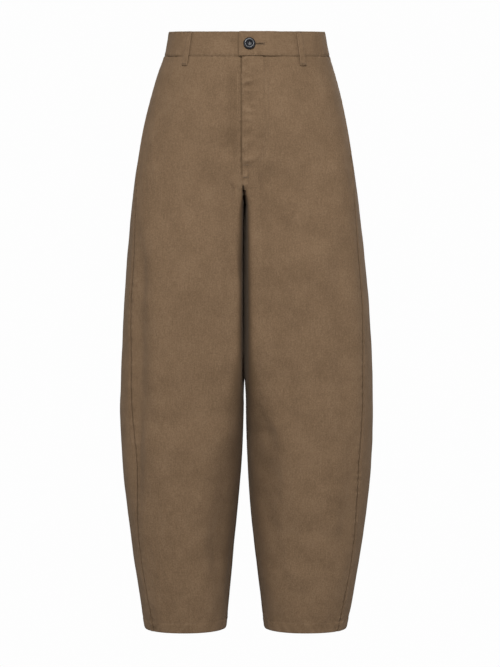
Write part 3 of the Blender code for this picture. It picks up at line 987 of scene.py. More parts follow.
@dataclass
class Panel:
    """One of the four main panels, and the fine relief of its cloth.

    A place on it is `t`, from the centre edge or inseam (0) to the side seam (1), and a level.
    """

    side: Side
    half: Half
    seed: int
    shell: float = 1.0
    tuck: float = 2.2
    waist: float = 41.3
    fly_width: float = 36.0
    fly_foot: float = 207.0
    fly_curve: float = 32.0
    fly_raise: float = 1.2
    hem_turn: float = 16.0
    side_allowance: float = 9.0
    table_rows: int = 230
    table_columns: int = 90
    wide: Waves = field(init=False)
    fine: Waves = field(init=False)
    table_levels: Grid = field(init=False)
    table_run: Grid = field(init=False)

    def __post_init__(self) -> None:
        """Measures the cloth's length from its centre edge, at many levels."""
        self.wide = Waves(self.seed, 38.0, 130.0)
        self.fine = Waves(self.seed + 50, 11.0, 26.0, 26)
        self.table_levels = np.linspace(self.waist, FORM.hem, self.table_rows)
        t = np.broadcast_to(np.linspace(0, 1, self.table_columns), (self.table_rows, self.table_columns))
        level = np.broadcast_to(self.table_levels[:, None], t.shape)
        points, _ = FORM.point(self.side, self.share(t, level), level)
        steps = np.linalg.norm(np.diff(points, axis=1), axis=-1)
        self.table_run = np.concatenate([np.zeros((self.table_rows, 1)), np.cumsum(steps, axis=1)], axis=1)

    @property
    def front(self) -> bool:
        """Whether this is a front panel."""
        return self.half is Half.FRONT

    @property
    def name(self) -> str:
        """The panel's node name."""
        return f"{self.half.value}_{self.side.name.lower()}"

    def share(self, t: Grid, level: Grid) -> Grid:
        """The form's share for a place on this panel."""
        seam = FORM.column("seam", level)
        return seam * t if self.front else 1.0 - t * (1.0 - seam)

    def run(self, t: Grid, level: Grid) -> tuple[Grid, Grid]:
        """How far a place is from the centre edge, and the panel's whole width there, in mm."""
        row = (level - self.table_levels[0]) / (self.table_levels[1] - self.table_levels[0])
        row = np.clip(row, 0, self.table_rows - 1.001)
        column = np.clip(t, 0, 1) * (self.table_columns - 1)
        column = np.clip(column, 0, self.table_columns - 1.001)
        low, left = row.astype(int), column.astype(int)
        down, along = row - low, column - left
        table = self.table_run
        top = table[low, left] * (1 - along) + table[low, left + 1] * along
        bottom = table[low + 1, left] * (1 - along) + table[low + 1, left + 1] * along
        whole = table[low, -1] * (1 - down) + table[low + 1, -1] * down
        beyond = (t - np.clip(t, 0, 1)) * whole
        return top * (1 - down) + bottom * down + beyond, whole

    def t_at(self, from_centre: Grid | None, from_side: Grid | None, level: Grid) -> Grid:
        """The t of places that are so many mm from the centre edge, or else from the side seam."""
        t = np.linspace(0, 1, self.table_columns)
        found = []
        for place, height in enumerate(level):
            row = np.clip(np.searchsorted(self.table_levels, height), 0, self.table_rows - 1)
            run = self.table_run[row]
            wanted = from_centre[place] if from_centre is not None else run[-1] - from_side[place]
            found.append(np.interp(wanted, run, t))
        return np.array(found)

    def fly_reach(self, across: Grid, level: Grid) -> Grid:
        """1 on the fly's J-shaped stitching, less inside it."""
        below = np.clip((level - (self.fly_foot - self.fly_curve)) / self.fly_curve, 0, None)
        return np.sqrt((across / self.fly_width) ** 2 + below**2)

    def relief(self, t: Grid, level: Grid) -> tuple[Grid, Grid]:
        """How far the cloth stands off the plain form, in mm, and its wear and painted shade."""
        share = self.share(t, level)
        point, drop = FORM.point(self.side, share, level)
        centre, whole = self.run(t, level)
        edge = whole - centre
        off_middle = np.abs(point[..., 0] + 2.0)
        hand = self.side.value
        lift = FORM.folds(LARGE_FOLDS, self.side, share, drop) + FORM.folds(SMALL_FOLDS, self.side, share, drop)

        facing = np.abs(FORM.normal(self.side, share, level)[..., 1])
        broad = 0.22 + 0.78 * smooth(0.25, 0.75, facing)
        free = smooth(0, 26, off_middle) * smooth(0, 26, edge) * smooth(-4, 26, level - self.waist)
        free = free * smooth(-6, 22, FORM.hem - level) * broad
        lift = lift + 0.75 * free * self.wide.at(edge, drop) + 0.13 * free * self.fine.at(edge, drop)
        wear_and_shade = np.zeros_like(lift)

        # Puckers beside the seams, the same on both sides of each seam
        for distance, key, reach, size in (
            (edge, 7 + hand, 6.5, 0.34),
            (centre, 17 + hand, 5.0, 0.26 if self.front else 0.2),
        ):
            pucker = Waves(key, 7.0, 15.0, 9).at(0.0 * drop, drop)
            slant = Waves(key + 30, 9.0, 16.0, 9).at(distance * 0.7, drop)
            near = bell(distance, reach)
            past = np.exp(-((distance - 7.0) ** 2) / 40.0) * smooth(0, 3, distance)
            lift = lift + size * (near * pucker + 0.7 * past * slant) * broad
            # The puckers are lighter on their crests, as wear, and darker in their hollows, as painted shade.
            wear_and_shade = wear_and_shade + 0.10 * near * pucker

        # The side seam: both allowances lie under the back, so the front steps down and goes in under it. The
        # mouth of the front's on-seam pocket is beside it.
        if self.front:
            lift = lift - 0.55 * (1 - smooth(0.2, 2.4, edge)) - 0.85 * smooth(0.1, 0.9, -edge)
            # Painted shade darkens the front in a thin line along the seam, where it goes in under the back.
            wear_and_shade = wear_and_shade - 0.45 * bell(edge, 0.9)
            pocket = smooth(196, 208, level) * (1 - smooth(276, 290, level))
            pocket = pocket * (1 - smooth(5.0, 12.0, edge)) * smooth(0.5, 3.0, edge)
            ripple = Waves(61 + hand, 6.0, 13.0, 10).at(edge * 0.5, drop)
            lift, wear_and_shade = lift + pocket * (0.5 + 0.42 * ripple), wear_and_shade + pocket * 0.16
        else:
            raised = 1 - smooth(self.side_allowance - 2.5, self.side_allowance + 1.0, edge)
            lift = lift + 0.62 * raised - 0.24 * bell(edge, 0.8, 2.0)
            # The back's folded edge is worn lighter just inside it, and painted shade darkens a thin line at the
            # very edge.
            wear_and_shade = wear_and_shade + 0.22 * bell(edge, 1.4, 1.2) - 0.2 * bell(edge, 0.5)
            wear_and_shade = wear_and_shade + 0.10 * bell(edge, 1.6, self.side_allowance)

        # The inseam or centre seam, and the shade in the valley between the thighs
        if self.front:
            behind = point[..., 1] - FORM.column("front", drop) * FORM.corner_depth
            valley = smooth(1.5, 14.0, behind) * bell(point[..., 0], 14.0, -3.0)
            valley = valley * smooth(FORM.crotch - 2, FORM.crotch + 14, level) * (1 - smooth(540, 640, level))
            felled = smooth(FORM.crotch + 6, FORM.crotch + 40, level)
            lift = lift + 0.45 * (1 - smooth(5.5, 8.5, centre)) * felled
            wear_and_shade = wear_and_shade - 1.3 * valley + 0.12 * bell(centre, 1.6, 5.0) * felled
        else:
            legs = smooth(FORM.crotch - 3, FORM.crotch + 3, level)
            lift = lift - (0.5 * (1 - smooth(0.2, 2.4, centre)) + 0.85 * smooth(0.1, 0.9, -centre)) * legs
            lift = lift + 0.5 * (1 - legs) * (1 - smooth(6.5, 9.0, centre))

        # The hem's turn-up, with its groove and the slanting ropes that sewing it leaves
        up = FORM.hem - level
        rope = Waves(83 + hand + (0 if self.front else 5), 9.0, 20.0, 12).at(centre + 0.8 * up, 0.25 * up)
        hem = 1 - smooth(self.hem_turn - 1.5, self.hem_turn + 2.0, up)
        lift = lift + 0.5 * hem + 0.24 * rope * bell(up, 8.0, self.hem_turn)
        lift = lift - 0.4 * bell(up, 1.0, self.hem_turn)
        lift = lift - 0.6 * bell(up, 1.3)
        # The hem's fold is worn lighter; the ropes are lighter on their crests, as wear, and darker between them,
        # as painted shade.
        wear_and_shade = wear_and_shade + 0.12 * bell(up, 1.6) + 0.10 * hem * rope

        # Where the cloth is eased into the waistband
        below = level - self.waist
        ease = Waves(97 + hand, 8.0, 17.0, 12).at(centre, 0.2 * below)
        lift = lift + 0.3 * ease * bell(below, 8.0) - 0.5 * bell(below, 1.4)

        if self.front:
            lift, wear_and_shade = self.fly(lift, wear_and_shade, centre, level, drop)
        return lift, wear_and_shade

    def fly(self, lift: Grid, wear_and_shade: Grid, centre: Grid, level: Grid, drop: Grid) -> tuple[Grid, Grid]:
        """Adds the fly's lap and its ripples on the left, and the rise below it on both fronts."""
        hand = self.side.value
        below = level - self.waist
        rise = smooth(self.fly_foot - 12, self.fly_foot, level) * (1 - smooth(FORM.crotch - 8, FORM.crotch, level))
        zigzag = Waves(131, 10.0, 15.0, 6).at(0.35 * hand * centre, drop)
        close = bell(centre, 8.0)
        lift = lift + 0.4 * rise * close * zigzag * smooth(0.0, 5.0, centre)
        if self.side is Side.RIGHT:
            above = 1 - smooth(self.fly_foot, self.fly_foot + 12, level)
            tuck = (1 - smooth(0.5, 4.5, centre)) * (0.5 + 0.5 * above)
            lift = lift - 1.7 * tuck - 0.9 * (0.35 + 0.65 * above) * smooth(0.1, 0.9, -centre)
            # Painted shade: a soft dark band on the right front beside the fly, and a dark line where it goes in
            # under the lap's edge.
            shade = bell(centre, 10.0, 13.0) * smooth(45, 80, level) * (1 - smooth(190, 250, level))
            wear_and_shade = wear_and_shade - 0.28 * shade
            return lift, wear_and_shade - 1.1 * (1 - smooth(0.4, 3.4, centre)) * (0.10 + 0.90 * above)
        reach = self.fly_reach(centre, level)
        lap = 1 - smooth(0.75, 1.2, reach)
        inside = 1 - smooth(0.8, 1.05, reach)
        lift = lift + self.fly_raise * lap
        groove = np.exp(-(((reach - 0.96) * self.fly_width / 1.3) ** 2))
        lift = lift - 0.30 * groove
        ripple = Waves(141, 10.0, 19.0, 12).at(0.45 * centre, below)
        bean = Waves(149, 11.0, 18.0, 8).at(0.25 * centre + 4.0, 0.95 * below)
        near_edge = bell(centre, 8.0, 9.0)
        lift = lift + inside * (0.42 * ripple + 1.15 * near_edge * bean)
        lift = lift + 0.22 * bell(centre, 2.2) * inside
        # The fly's edge is worn lighter; the ripples beside it are lighter on their crests, as wear, and darker in
        # their hollows, as painted shade.
        wear_and_shade = wear_and_shade + 0.2 * bell(centre, 1.6) * inside + 0.12 * inside * near_edge * bean

        # Below the fly the rise is felled: a narrow raised strip, drawn into slanting ropes by its sewing
        felled = smooth(self.fly_foot - 20, self.fly_foot - 8, level)
        felled = felled * (1 - smooth(FORM.crotch + 4, FORM.crotch + 14, level))
        strip = felled * (1 - smooth(6.8, 8.6, centre))
        rope = Waves(157, 6.0, 10.0, 10).at(0.5 * centre, drop + 0.5 * centre)
        lift = lift + strip * (0.35 + 0.55 * rope)
        # The felled strip is lighter on its ropes, as wear, and darker between them, as painted shade; painted
        # shade also darkens the groove at its edge and the J-shaped stitching's groove.
        wear_and_shade = wear_and_shade + strip * (0.10 + 0.16 * rope) - 0.35 * felled * bell(centre, 0.8, 8.4)
        return lift, wear_and_shade - 0.18 * groove

    def surface(self, t: Grid, level: Grid, lift: float = 0.0) -> tuple[Grid, Grid, Grid]:
        """The cloth's outer face.

        Args:
            t: from the centre edge (0) to the side seam (1).
            level: the drop at the side seam.
            lift: how far off the cloth the point is, in mm.

        Returns:
            The points in mm, the plain form's normals, and the wear and painted shade.
        """
        share = self.share(t, level)
        point, _ = FORM.point(self.side, share, level)
        normal = FORM.normal(self.side, share, level)
        height, wear_and_shade = self.relief(t, level)
        return point + normal * (height + lift)[..., None], normal, wear_and_shade

    def columns(self, count: int) -> Grid:
        """Columns from edge to edge, closest together by the seams."""
        return edged(count, 0.72)

    def rows(self, count: int) -> Grid:
        """Rows from the waist seam to the hem, closest together at both ends and by the fly."""
        density = np.ones(2000)
        level = np.linspace(self.waist, FORM.hem, 2000)
        density += 1.1 * (1 - smooth(8, 40, level - self.waist)) + 1.6 * (1 - smooth(12, 34, FORM.hem - level))
        density += 0.5 * (1 - smooth(190, 250, level))
        return spaced(level, density, count)

    def cut(self, shop: Workshop, columns: int, rows: int) -> bpy.types.Object:
        """Makes the panel's shell.

        Args:
            shop: where pieces are made.
            columns: how many columns of faces it has.
            rows: how many rows.

        Returns:
            The piece.
        """
        level, t = np.meshgrid(self.rows(rows), self.columns(columns), indexing="ij")
        _, whole = self.run(t, level)
        # One edge of each seam goes in under the other, further at the hem, where it would be seen through
        legs = smooth(FORM.crotch + 1.0, FORM.crotch + 14.0, level)
        hips = 1 - smooth(FORM.crotch - 2.0, FORM.crotch + 4.0, level)
        under = (3 * hips * (self.side is Side.RIGHT) if self.front else legs) * self.tuck - FORM.seam_gap / 2
        wider = 2.6 - 1.6 * smooth(8.0, 40.0, FORM.hem - level)
        under = under * wider
        beside = (self.tuck if self.front else 0.0) * wider - FORM.seam_gap / 2
        t = t + (t * beside - (1 - t) * under) / whole
        outer, normal, wear_and_shade = self.surface(t, level)
        centre, whole = self.run(t, level)
        inner = outer - normal * self.shell
        uv = np.stack([centre - whole, -level], axis=-1) * MM
        outward = (self.side is Side.LEFT) == self.front
        return shop.shell(f"{self.name}_cloth", outer, inner, uv, wear_and_shade, self.name, not outward)

    def path(
        self, levels: Grid, from_centre: Grid | float | None = None, from_side: float | None = None
    ) -> tuple[Grid, Grid]:
        """Points and normals along a line down the panel, a set distance from one of its edges."""
        centre = None if from_centre is None else np.broadcast_to(from_centre, levels.shape)
        side = None if from_side is None else np.broadcast_to(from_side, levels.shape)
        points, normals, _ = self.surface(self.t_at(centre, side, levels), levels)
        return points, normals

    def round_path(self, level: float, start: float = 0.004, end: float = 0.996) -> tuple[Grid, Grid]:
        """Points and normals across the panel at one level."""
        t = np.linspace(start, end, 260)
        points, normals, _ = self.surface(t, np.full_like(t, level))
        return points, normals

    def stitch(self, shop: Workshop) -> bpy.types.Object:
        """Sews the rows that show on this panel, as one piece.

        Args:
            shop: where pieces are made.

        Returns:
            The stitches.
        """
        row = StitchRow(self.seed + 900)
        down = np.arange(self.waist + 2.0, FORM.hem - 1.0, 1.0)
        legs = np.arange(FORM.crotch + 3.0, FORM.hem - 1.0, 1.0)
        row.sew(*self.round_path(FORM.hem - self.hem_turn))
        if self.front:
            row.sew(*self.path(legs, from_centre=2.0))
            pocket = np.arange(204.0, 286.0, 1.0)
            for level in (203.0, 290.0):
                tack = np.linspace(level - 0.5, level + 0.5, 2)
                t = self.t_at(None, np.array([1.0, 8.0]), tack)
                points, normals, _ = self.surface(np.linspace(t[0], t[1], 12), np.full(12, level))
                row.satin(points, normals, 2.0)
            row.sew(*self.path(pocket, from_side=6.5))
            self.stitch_fly(row)
        else:
            row.sew(*self.path(down, from_side=2.0))
            seat = np.arange(self.waist + 2.0, FORM.crotch - 4.0, 1.0)
            row.sew(*self.path(seat, from_centre=2.0))
            row.sew(*self.path(seat, from_centre=8.0))
        return row.make(shop, f"{self.name}_stitches", self.name)

    def stitch_fly(self, row: StitchRow) -> None:
        """Sews the fly's edge, its J-shaped double row and bartacks, and the rise below it."""
        rise = np.arange(self.fly_foot + 3.0, FORM.crotch - 4.0, 0.7)
        if self.side is Side.RIGHT:
            row.sew(*self.path(rise, from_centre=2.4))
            return
        down = np.arange(self.waist + 1.5, self.fly_foot - 4.0, 0.7)
        row.sew(*self.path(down, from_centre=2.6))
        row.sew(*self.path(rise, from_centre=2.4))
        row.sew(*self.path(rise, from_centre=9.0))
        for width in (self.fly_width - 1.2, self.fly_width + 4.8):
            share = width / self.fly_width
            straight = np.arange(self.waist + 1.5, self.fly_foot - self.fly_curve, 0.7)
            turn = np.linspace(0, math.pi / 2 - 0.13, 60)
            level = self.fly_foot - self.fly_curve + np.sin(turn) * self.fly_curve * share
            across = np.cos(turn) * width
            levels = np.concatenate([straight, level])
            centres = np.concatenate([np.full_like(straight, width), across])
            row.sew(*self.path(levels, from_centre=centres))
        for level in (self.fly_foot - 5.0, self.fly_foot + 14.0):
            t = self.t_at(np.linspace(1.0, 9.5, 14), None, np.full(14, level))
            points, normals, _ = self.surface(t, np.full(14, level))
            row.satin(points, normals, 2.2)


@dataclass
class Waistband:
    """The band, whose left end laps over the right one at the centre front."""

    top: float = 2.0
    seam: float = 41.0
    wall: float = 2.2
    proud: float = 0.8
    lap_beyond: float = 4.4
    underlap: float = 29.0
    lap_raise: float = 2.8
    lap_fade: tuple[float, float] = (5.0, 27.0)
    columns: int = 620
    rows: int = 30
    buttonhole: tuple[float, float] = (16.2, 28.6)
    hole_level: float = 22.4

    def __post_init__(self) -> None:
        """Works out the band's length round half of the waist."""
        self.round_half = FORM.half_girth(self.seam)

    def faces(self, around: Grid, level: Grid, stand: Grid) -> tuple[Grid, Grid]:
        """Points and normals of the band, where `around` runs from the centre front by the left to it (2)."""
        around = np.mod(around + 1, 2) - 1
        share = np.abs(around)
        on_left = (around >= 0)[..., None]
        point = np.where(on_left, FORM.point(LEFT, share, level)[0], FORM.point(RIGHT, share, level)[0])
        normal = np.where(on_left, FORM.normal(LEFT, share, level), FORM.normal(RIGHT, share, level))
        return point + normal * stand[..., None], normal

    def stand(self, around: Grid) -> Grid:
        """How far the band's plain face stands off the form, more where its end laps over."""
        past_end = around * self.round_half - self.underlap
        return self.proud + self.lap_raise * (1.0 - smooth(*self.lap_fade, past_end))

    def relief(self, around: Grid, level: Grid) -> tuple[Grid, Grid]:
        """The band's rounded edges, grooves, ripples and buttonhole, in mm, and its wear and painted shade."""
        along = around * self.round_half
        from_top, from_seam = level - self.top, self.seam - level
        length = 2 * self.round_half + self.underlap
        from_end = np.minimum(along + self.lap_beyond, length - along)
        ripple = Waves(201, 9.0, 24.0, 16).at(along, 0.5 * level)
        soft = Waves(207, 45.0, 120.0, 12).at(along, level)
        pucker = Waves(211, 7.0, 14.0, 10).at(along, 0.35 * level)
        near = bell(from_seam, 7.0) + 0.5 * bell(from_top, 6.0)
        lift = 0.16 * ripple + 0.25 * soft + 0.28 * near * pucker
        for distance in (from_top, from_seam, from_end):
            lift = lift - 0.75 * bell(distance, 1.1)
            lift = lift - 0.26 * bell(distance, 0.7, 2.2)
        wear_and_shade = 0.13 * bell(from_top, 1.4) + 0.16 * bell(from_end, 0.9, 0.9)
        # The puckers are lighter on their crests, as wear, and darker in their hollows, as painted shade; painted
        # shade also darkens a thin line along the band's seam.
        wear_and_shade = wear_and_shade + 0.08 * near * pucker - 0.25 * bell(from_seam, 0.8)
        start, end = self.buttonhole
        inside = smooth(start - 0.4, start + 0.2, along) * (1 - smooth(end - 1.6, end - 1.0, along))
        slit = inside * bell(level, 0.55, self.hole_level)
        rim = smooth(start - 2, start, along) * (1 - smooth(end, end + 2, along))
        rim = rim * bell(level, 3.0, self.hole_level)
        beside = 2 * self.round_half - self.lap_beyond - along
        shade = smooth(-1.5, -0.5, beside) * (1 - smooth(0.3, 3.2, beside))
        # Painted shade darkens the buttonhole's slit and a thin strip of the band beside the lapped end's edge.
        return lift - 1.3 * slit + 0.35 * rim, wear_and_shade - 1.6 * slit - 1.1 * shade

    def columns_at(self) -> Grid:
        """The band's columns, closest together by its lapped end and buttonhole."""
        start, end = -self.lap_beyond, 2 * self.round_half + self.underlap
        place = np.linspace(start, end, 4000)
        density = 1.0 + 3.2 * (1 - smooth(30, 44, place)) + 1.5 * smooth(end - 5, end - 1, place)
        return spaced(place, density, self.columns) / self.round_half

    def cut(self, shop: Workshop) -> bpy.types.Object:
        """Makes the band's piece."""
        level = self.top + (self.seam - self.top) * edged(self.rows, 0.6)
        slit = np.linspace(self.hole_level - 1.2, self.hole_level + 1.2, 7)
        level = np.concatenate([level[np.abs(level - self.hole_level) > 1.7], slit])
        around, level = np.meshgrid(self.columns_at(), np.sort(level))
        lift, wear_and_shade = self.relief(around, level)
        stand = self.stand(around)
        outer, normal = self.faces(around, level, stand + lift)
        inner, _ = self.faces(around, level, stand - self.wall)
        uv = np.stack([level, around * self.round_half], axis=-1) * MM
        return shop.shell("waistband_cloth", outer, inner, uv, wear_and_shade, "waistband", False)

    def line(self, along: Grid, level: Grid) -> tuple[Grid, Grid]:
        """Points and normals on the band's face, `along` mm from the centre front by the left."""
        around = along / self.round_half
        lift, _ = self.relief(around, level)
        return self.faces(around, level, self.stand(around) + lift)

    def stitch(self, shop: Workshop) -> bpy.types.Object:
        """Sews round the band's edges and round the buttonhole."""
        row = StitchRow(950)
        inset = 2.2
        start, end = -self.lap_beyond + inset, 2 * self.round_half - self.lap_beyond - 2.0
        along = np.arange(start, end, 0.8)
        row.sew(*self.line(along, np.full_like(along, self.seam - inset)))
        row.sew(*self.line(along, np.full_like(along, self.top + inset)))
        down = np.arange(self.top + inset, self.seam - inset, 0.8)
        row.sew(*self.line(np.full_like(down, start), down))
        first, last = self.buttonhole
        hole = np.arange(first, last - 1.0, 0.3)
        for offset in (-1.05, 1.05):
            row.satin(*self.line(hole, np.full_like(hole, self.hole_level + offset)), 1.5)
        bar = np.arange(self.hole_level - 2.1, self.hole_level + 2.1, 0.3)
        row.satin(*self.line(np.full_like(bar, last), bar), 1.6)
        return row.make(shop, "waistband_stitches", "waistband")


@dataclass
class BeltLoop:
    """One belt loop: a folded strip, edge-stitched on both sides and tacked at its ends."""

    node: str
    around: float
    seed: int
    width: float = 9.8
    wall: float = 1.6
    below_top: float = 0.4
    below_seam: float = 16.0
    bulge: float = 2.0
    tack: tuple[float, float] = (0.72, 0.86)
    columns: int = 18
    rows: int = 74

    def grid(self, band: Waistband, across: Grid, down: Grid) -> tuple[Grid, Grid, Grid]:
        """Outer and inner points and normals, for places 0 to 1 across and down the strip."""
        level = band.top + self.below_top + down * (band.seam + self.below_seam - band.top - self.below_top)
        around = self.around + (across - 0.5) * self.width / band.round_half
        over = band.proud * (1 - smooth(*self.tack, down))
        bow = self.bulge * np.sqrt(np.clip(np.sin(math.pi * down), 0, None))
        base = self.wall + FORM.seam_gap + over + bow
        side = np.minimum(across, 1 - across) * self.width
        end = np.minimum(down, 1 - down) * (band.seam + self.below_seam)
        lift = -0.6 * bell(side, 0.7) - 0.22 * bell(side, 0.6, 1.9)
        lift = lift - 0.5 * bell(end, 0.8)
        lift = lift + 0.12 * Waves(self.seed, 5.0, 12.0, 10).at(across * self.width, level)
        tacked = bell(down, 0.03, 0.955)
        lift = lift - 0.25 * tacked
        outer, normal = band.faces(around, level, base + lift)
        inner, _ = band.faces(around, level, base - self.wall)
        return outer, inner, normal

    def cut(self, shop: Workshop, band: Waistband) -> tuple[bpy.types.Object, bpy.types.Object]:
        """Makes the strip and its stitches.

        Args:
            shop: where pieces are made.
            band: the waistband that it is sewn to.

        Returns:
            The strip and the stitches.
        """
        across, down = np.meshgrid(edged(self.columns, 0.6), np.linspace(0, 1, self.rows + 1))
        outer, inner, _ = self.grid(band, across, down)
        length = band.seam + self.below_seam
        uv = np.stack([across * self.width, down * length], axis=-1) * MM
        side = np.minimum(across, 1 - across) * self.width
        # The folded edges are worn lighter, and painted shade darkens the grooves inside the edge stitching.
        wear_and_shade = 0.22 * bell(side, 1.0) - 0.1 * bell(side, 0.6, 1.9)
        strip = shop.shell(f"{self.node}_cloth", outer, inner, uv, wear_and_shade, self.node, False)

        row = StitchRow(self.seed + 40)
        place = np.linspace(0.03, 0.97, 90)
        for inset in (1.9 / self.width, 1 - 1.9 / self.width):
            points, _, normals = self.grid(band, np.full_like(place, inset), place)
            row.sew(points, normals)
        over = np.linspace(0.08, 0.92, 30)
        for level in (0.035, 0.955):
            points, _, normals = self.grid(band, over, np.full_like(over, level))
            row.satin(points, normals, 2.0)
        return strip, row.make(shop, f"{self.node}_stitches", self.node)


@dataclass
class Button:
    """A turned, dished button with four holes and the thread through them."""

    x: float = 5.9
    level: float = 22.1
    outline: tuple[tuple[float, float], ...] = (
        (0.0, 1.75),
        (2.2, 1.8),
        (3.7, 2.0),
        (4.6, 2.55),
        (5.3, 3.1),
        (6.1, 3.37),
        (6.9, 3.36),
        (7.7, 3.2),
        (8.5, 2.85),
        (9.1, 2.3),
        (9.45, 1.6),
        (9.45, 1.1),
        (9.1, 0.75),
        (8.4, 0.45),
        (6.5, 0.05),
        (0.0, 0.0),
    )
    hole_radius: float = 0.85
    hole_spread: float = 1.85
    holes: int = 4
    steps: int = 72
    hole_steps: int = 20

    def seat(self, band: Waistband) -> Matrix:
        """Where the button's back lies on the band's lap, in metres."""
        half_width = FORM.column("left", np.array([self.level])) - FORM.fly_edge_x
        share = np.arcsin((self.x - FORM.fly_edge_x) / half_width) / math.pi
        stand = np.array([band.proud + band.lap_raise + FORM.seam_gap])
        seat, normal = band.faces(share, np.array([self.level]), stand)
        facing = Vector(normal[0]).to_track_quat("Z", "Y")
        return Matrix.Translation(Vector(seat[0] * MM)) @ facing.to_matrix().to_4x4()

    def turn(self, shop: Workshop, band: Waistband) -> tuple[bpy.types.Object, bpy.types.Object]:
        """Makes the button and its thread.

        Args:
            shop: where pieces are made.
            band: the waistband that it fastens.

        Returns:
            The button and the thread.
        """
        angle = np.arange(self.steps) * math.tau / self.steps
        rings = np.array(self.outline[1:-1])
        spin = np.stack([np.cos(angle), np.sin(angle)], axis=-1)
        round_points = rings[:, None, :1] * spin[None]
        heights = np.broadcast_to(rings[:, None, 1:], (*round_points.shape[:2], 1))
        body = np.concatenate([round_points, heights], axis=-1).reshape(-1, 3)
        poles = np.array([[0, 0, self.outline[0][1]], [0, 0, self.outline[-1][1]]])
        points = np.concatenate([body, poles])
        faces = []
        last = (len(rings) - 1) * self.steps
        for step in range(self.steps):
            after = (step + 1) % self.steps
            faces.append((step, after, len(body)))
            faces.append((last + after, last + step, len(body) + 1))
            for ring in range(len(rings) - 1):
                low, high = ring * self.steps, (ring + 1) * self.steps
                faces.append((low + step, high + step, high + after))
                faces.append((low + step, high + after, low + after))
        button = shop.piece("button_turned", points, np.array(faces), Slot.BUTTON, sharp=38.0)
        self.drill(button)
        seat = self.seat(band)
        button.data.transform(seat)
        return button, self.thread(shop, seat)

    def drill(self, button: bpy.types.Object) -> None:
        """Cuts the four holes."""
        for number in range(self.holes):
            angle = math.tau * (number + 0.5) / self.holes
            offset = Vector((math.cos(angle), math.sin(angle), 0.0)) * self.hole_spread * MM
            bpy.ops.mesh.primitive_cylinder_add(
                vertices=self.hole_steps, radius=self.hole_radius * MM, depth=12 * MM, location=offset
            )
            cutter = bpy.context.active_object
            cut = button.modifiers.new("hole", "BOOLEAN")
            cut.operation, cut.object = "DIFFERENCE", cutter
            with bpy.context.temp_override(object=button, active_object=button):
                bpy.ops.object.modifier_apply(modifier="hole")
            bpy.data.objects.remove(cutter)

    def thread(self, shop: Workshop, seat: Matrix) -> bpy.types.Object:
        """The thread between the holes, which runs across in two rows."""
        row = StitchRow(971)
        turned = np.array(seat.to_3x3())
        middle = np.array(seat.translation) / MM
        spread = self.hole_spread / math.sqrt(2)
        up = np.array([[0.0, 0.0, 1.0]]) @ turned.T
        for y in (-spread, spread):
            for shift in (-0.28, 0.0, 0.28):
                ends = np.array([[-spread, y + shift, 1.95], [spread, y + shift, 1.95]]) @ turned.T + middle
                row.add(ends[:1], ends[1:], up, 0.42)
        made = row.make(shop, "button_thread", "button")
        made.data.materials[0] = shop.finishes[Slot.BUTTON]
        return made


# ---------------------------------------------------------------- the studio


@dataclass
class Studio:
    """The camera, the soft lights and the pale floor."""

    camera_at: tuple[float, float, float] = (0.007, -3.2, -0.463)
    lens: float = 108.0
    lights_aim: tuple[float, float, float] = (0.0, 0.0, -0.45)
    floor_z: float = -1.35
    floor_reach: float = 60.0
    sky: float = 0.27
    white: tuple[float, float, float] = (0.986, 0.986, 0.986)

    def light(self, name: str, place: tuple[float, float, float], size: float, power: float) -> None:
        """A soft square light aimed at the garment's middle."""
        lamp = bpy.data.lights.new(name, "AREA")
        lamp.shape, lamp.size, lamp.energy = "SQUARE", size, power
        held = bpy.data.objects.new(name, lamp)
        held.location = place
        aim = Vector(self.lights_aim) - Vector(place)
        held.rotation_euler = aim.to_track_quat("-Z", "Y").to_euler()
        held.visible_camera = False
        bpy.context.scene.collection.objects.link(held)

    def floor(self) -> bpy.types.Object:
        """A plain white floor below the hems."""
        mesh = bpy.data.meshes.new("floor")
        reach = self.floor_reach
        corners = [(-reach, -reach, 0), (reach, -reach, 0), (reach, reach, 0), (-reach, reach, 0)]
        mesh.from_pydata(corners, [], [(0, 1, 2, 3)])
        material = bpy.data.materials.new("white_floor")
        material.use_nodes = True
        graph = NodeGraph(material.node_tree)
        shader = material.node_tree.nodes["Principled BSDF"]
        shader.inputs["Base Color"].default_value = (0.35, 0.35, 0.35, 1.0)
        shader.inputs["Roughness"].default_value = 0.9
        glow = graph.add("ShaderNodeEmission", in_Color=(*self.white, 1.0))
        out = material.node_tree.nodes["Material Output"].inputs[0]
        graph.white_to_camera(shader.outputs[0], glow.outputs[0], out)
        mesh.materials.append(material)
        floor = bpy.data.objects.new("floor", mesh)
        floor.location.z = self.floor_z
        bpy.context.scene.collection.objects.link(floor)
        return floor

    def world(self) -> None:
        """A white surround, dimmer as a light than it looks."""
        world = bpy.data.worlds.new("white_surround")
        world.use_nodes = True
        bpy.context.scene.world = world
        graph = NodeGraph(world.node_tree)
        ambient = world.node_tree.nodes["Background"]
        ambient.inputs["Color"].default_value = (1.0, 0.99, 0.98, 1.0)
        ambient.inputs["Strength"].default_value = self.sky
        shown = graph.add("ShaderNodeBackground", in_Color=(*self.white, 1.0))
        out = world.node_tree.nodes["World Output"].inputs[0]
        graph.white_to_camera(ambient.outputs[0], shown.outputs[0], out)

    def build(self) -> None:
        """Sets the camera, lights, surround and floor."""
        scene = bpy.context.scene
        data = bpy.data.cameras.new("camera")
        data.lens, data.sensor_width = self.lens, 36.0
        camera = bpy.data.objects.new("camera", data)
        camera.location = self.camera_at
        camera.rotation_euler = (math.pi / 2, 0.0, 0.0)
        scene.collection.objects.link(camera)
        scene.camera = camera
        scene.view_settings.view_transform = "Standard"
        self.world()
        self.light("upper_front", (-0.1, -3.0, 1.6), 1.2, 133.0)
        self.light("left_fill", (-2.8, -1.0, -0.9), 1.4, 20.0)
        self.light("right_fill", (2.8, -1.0, -0.9), 1.4, 28.0)
        self.light("back_fill", (0.6, 2.6, 1.2), 2.2, 46.0)
        self.floor()


# ---------------------------------------------------------------- the trousers


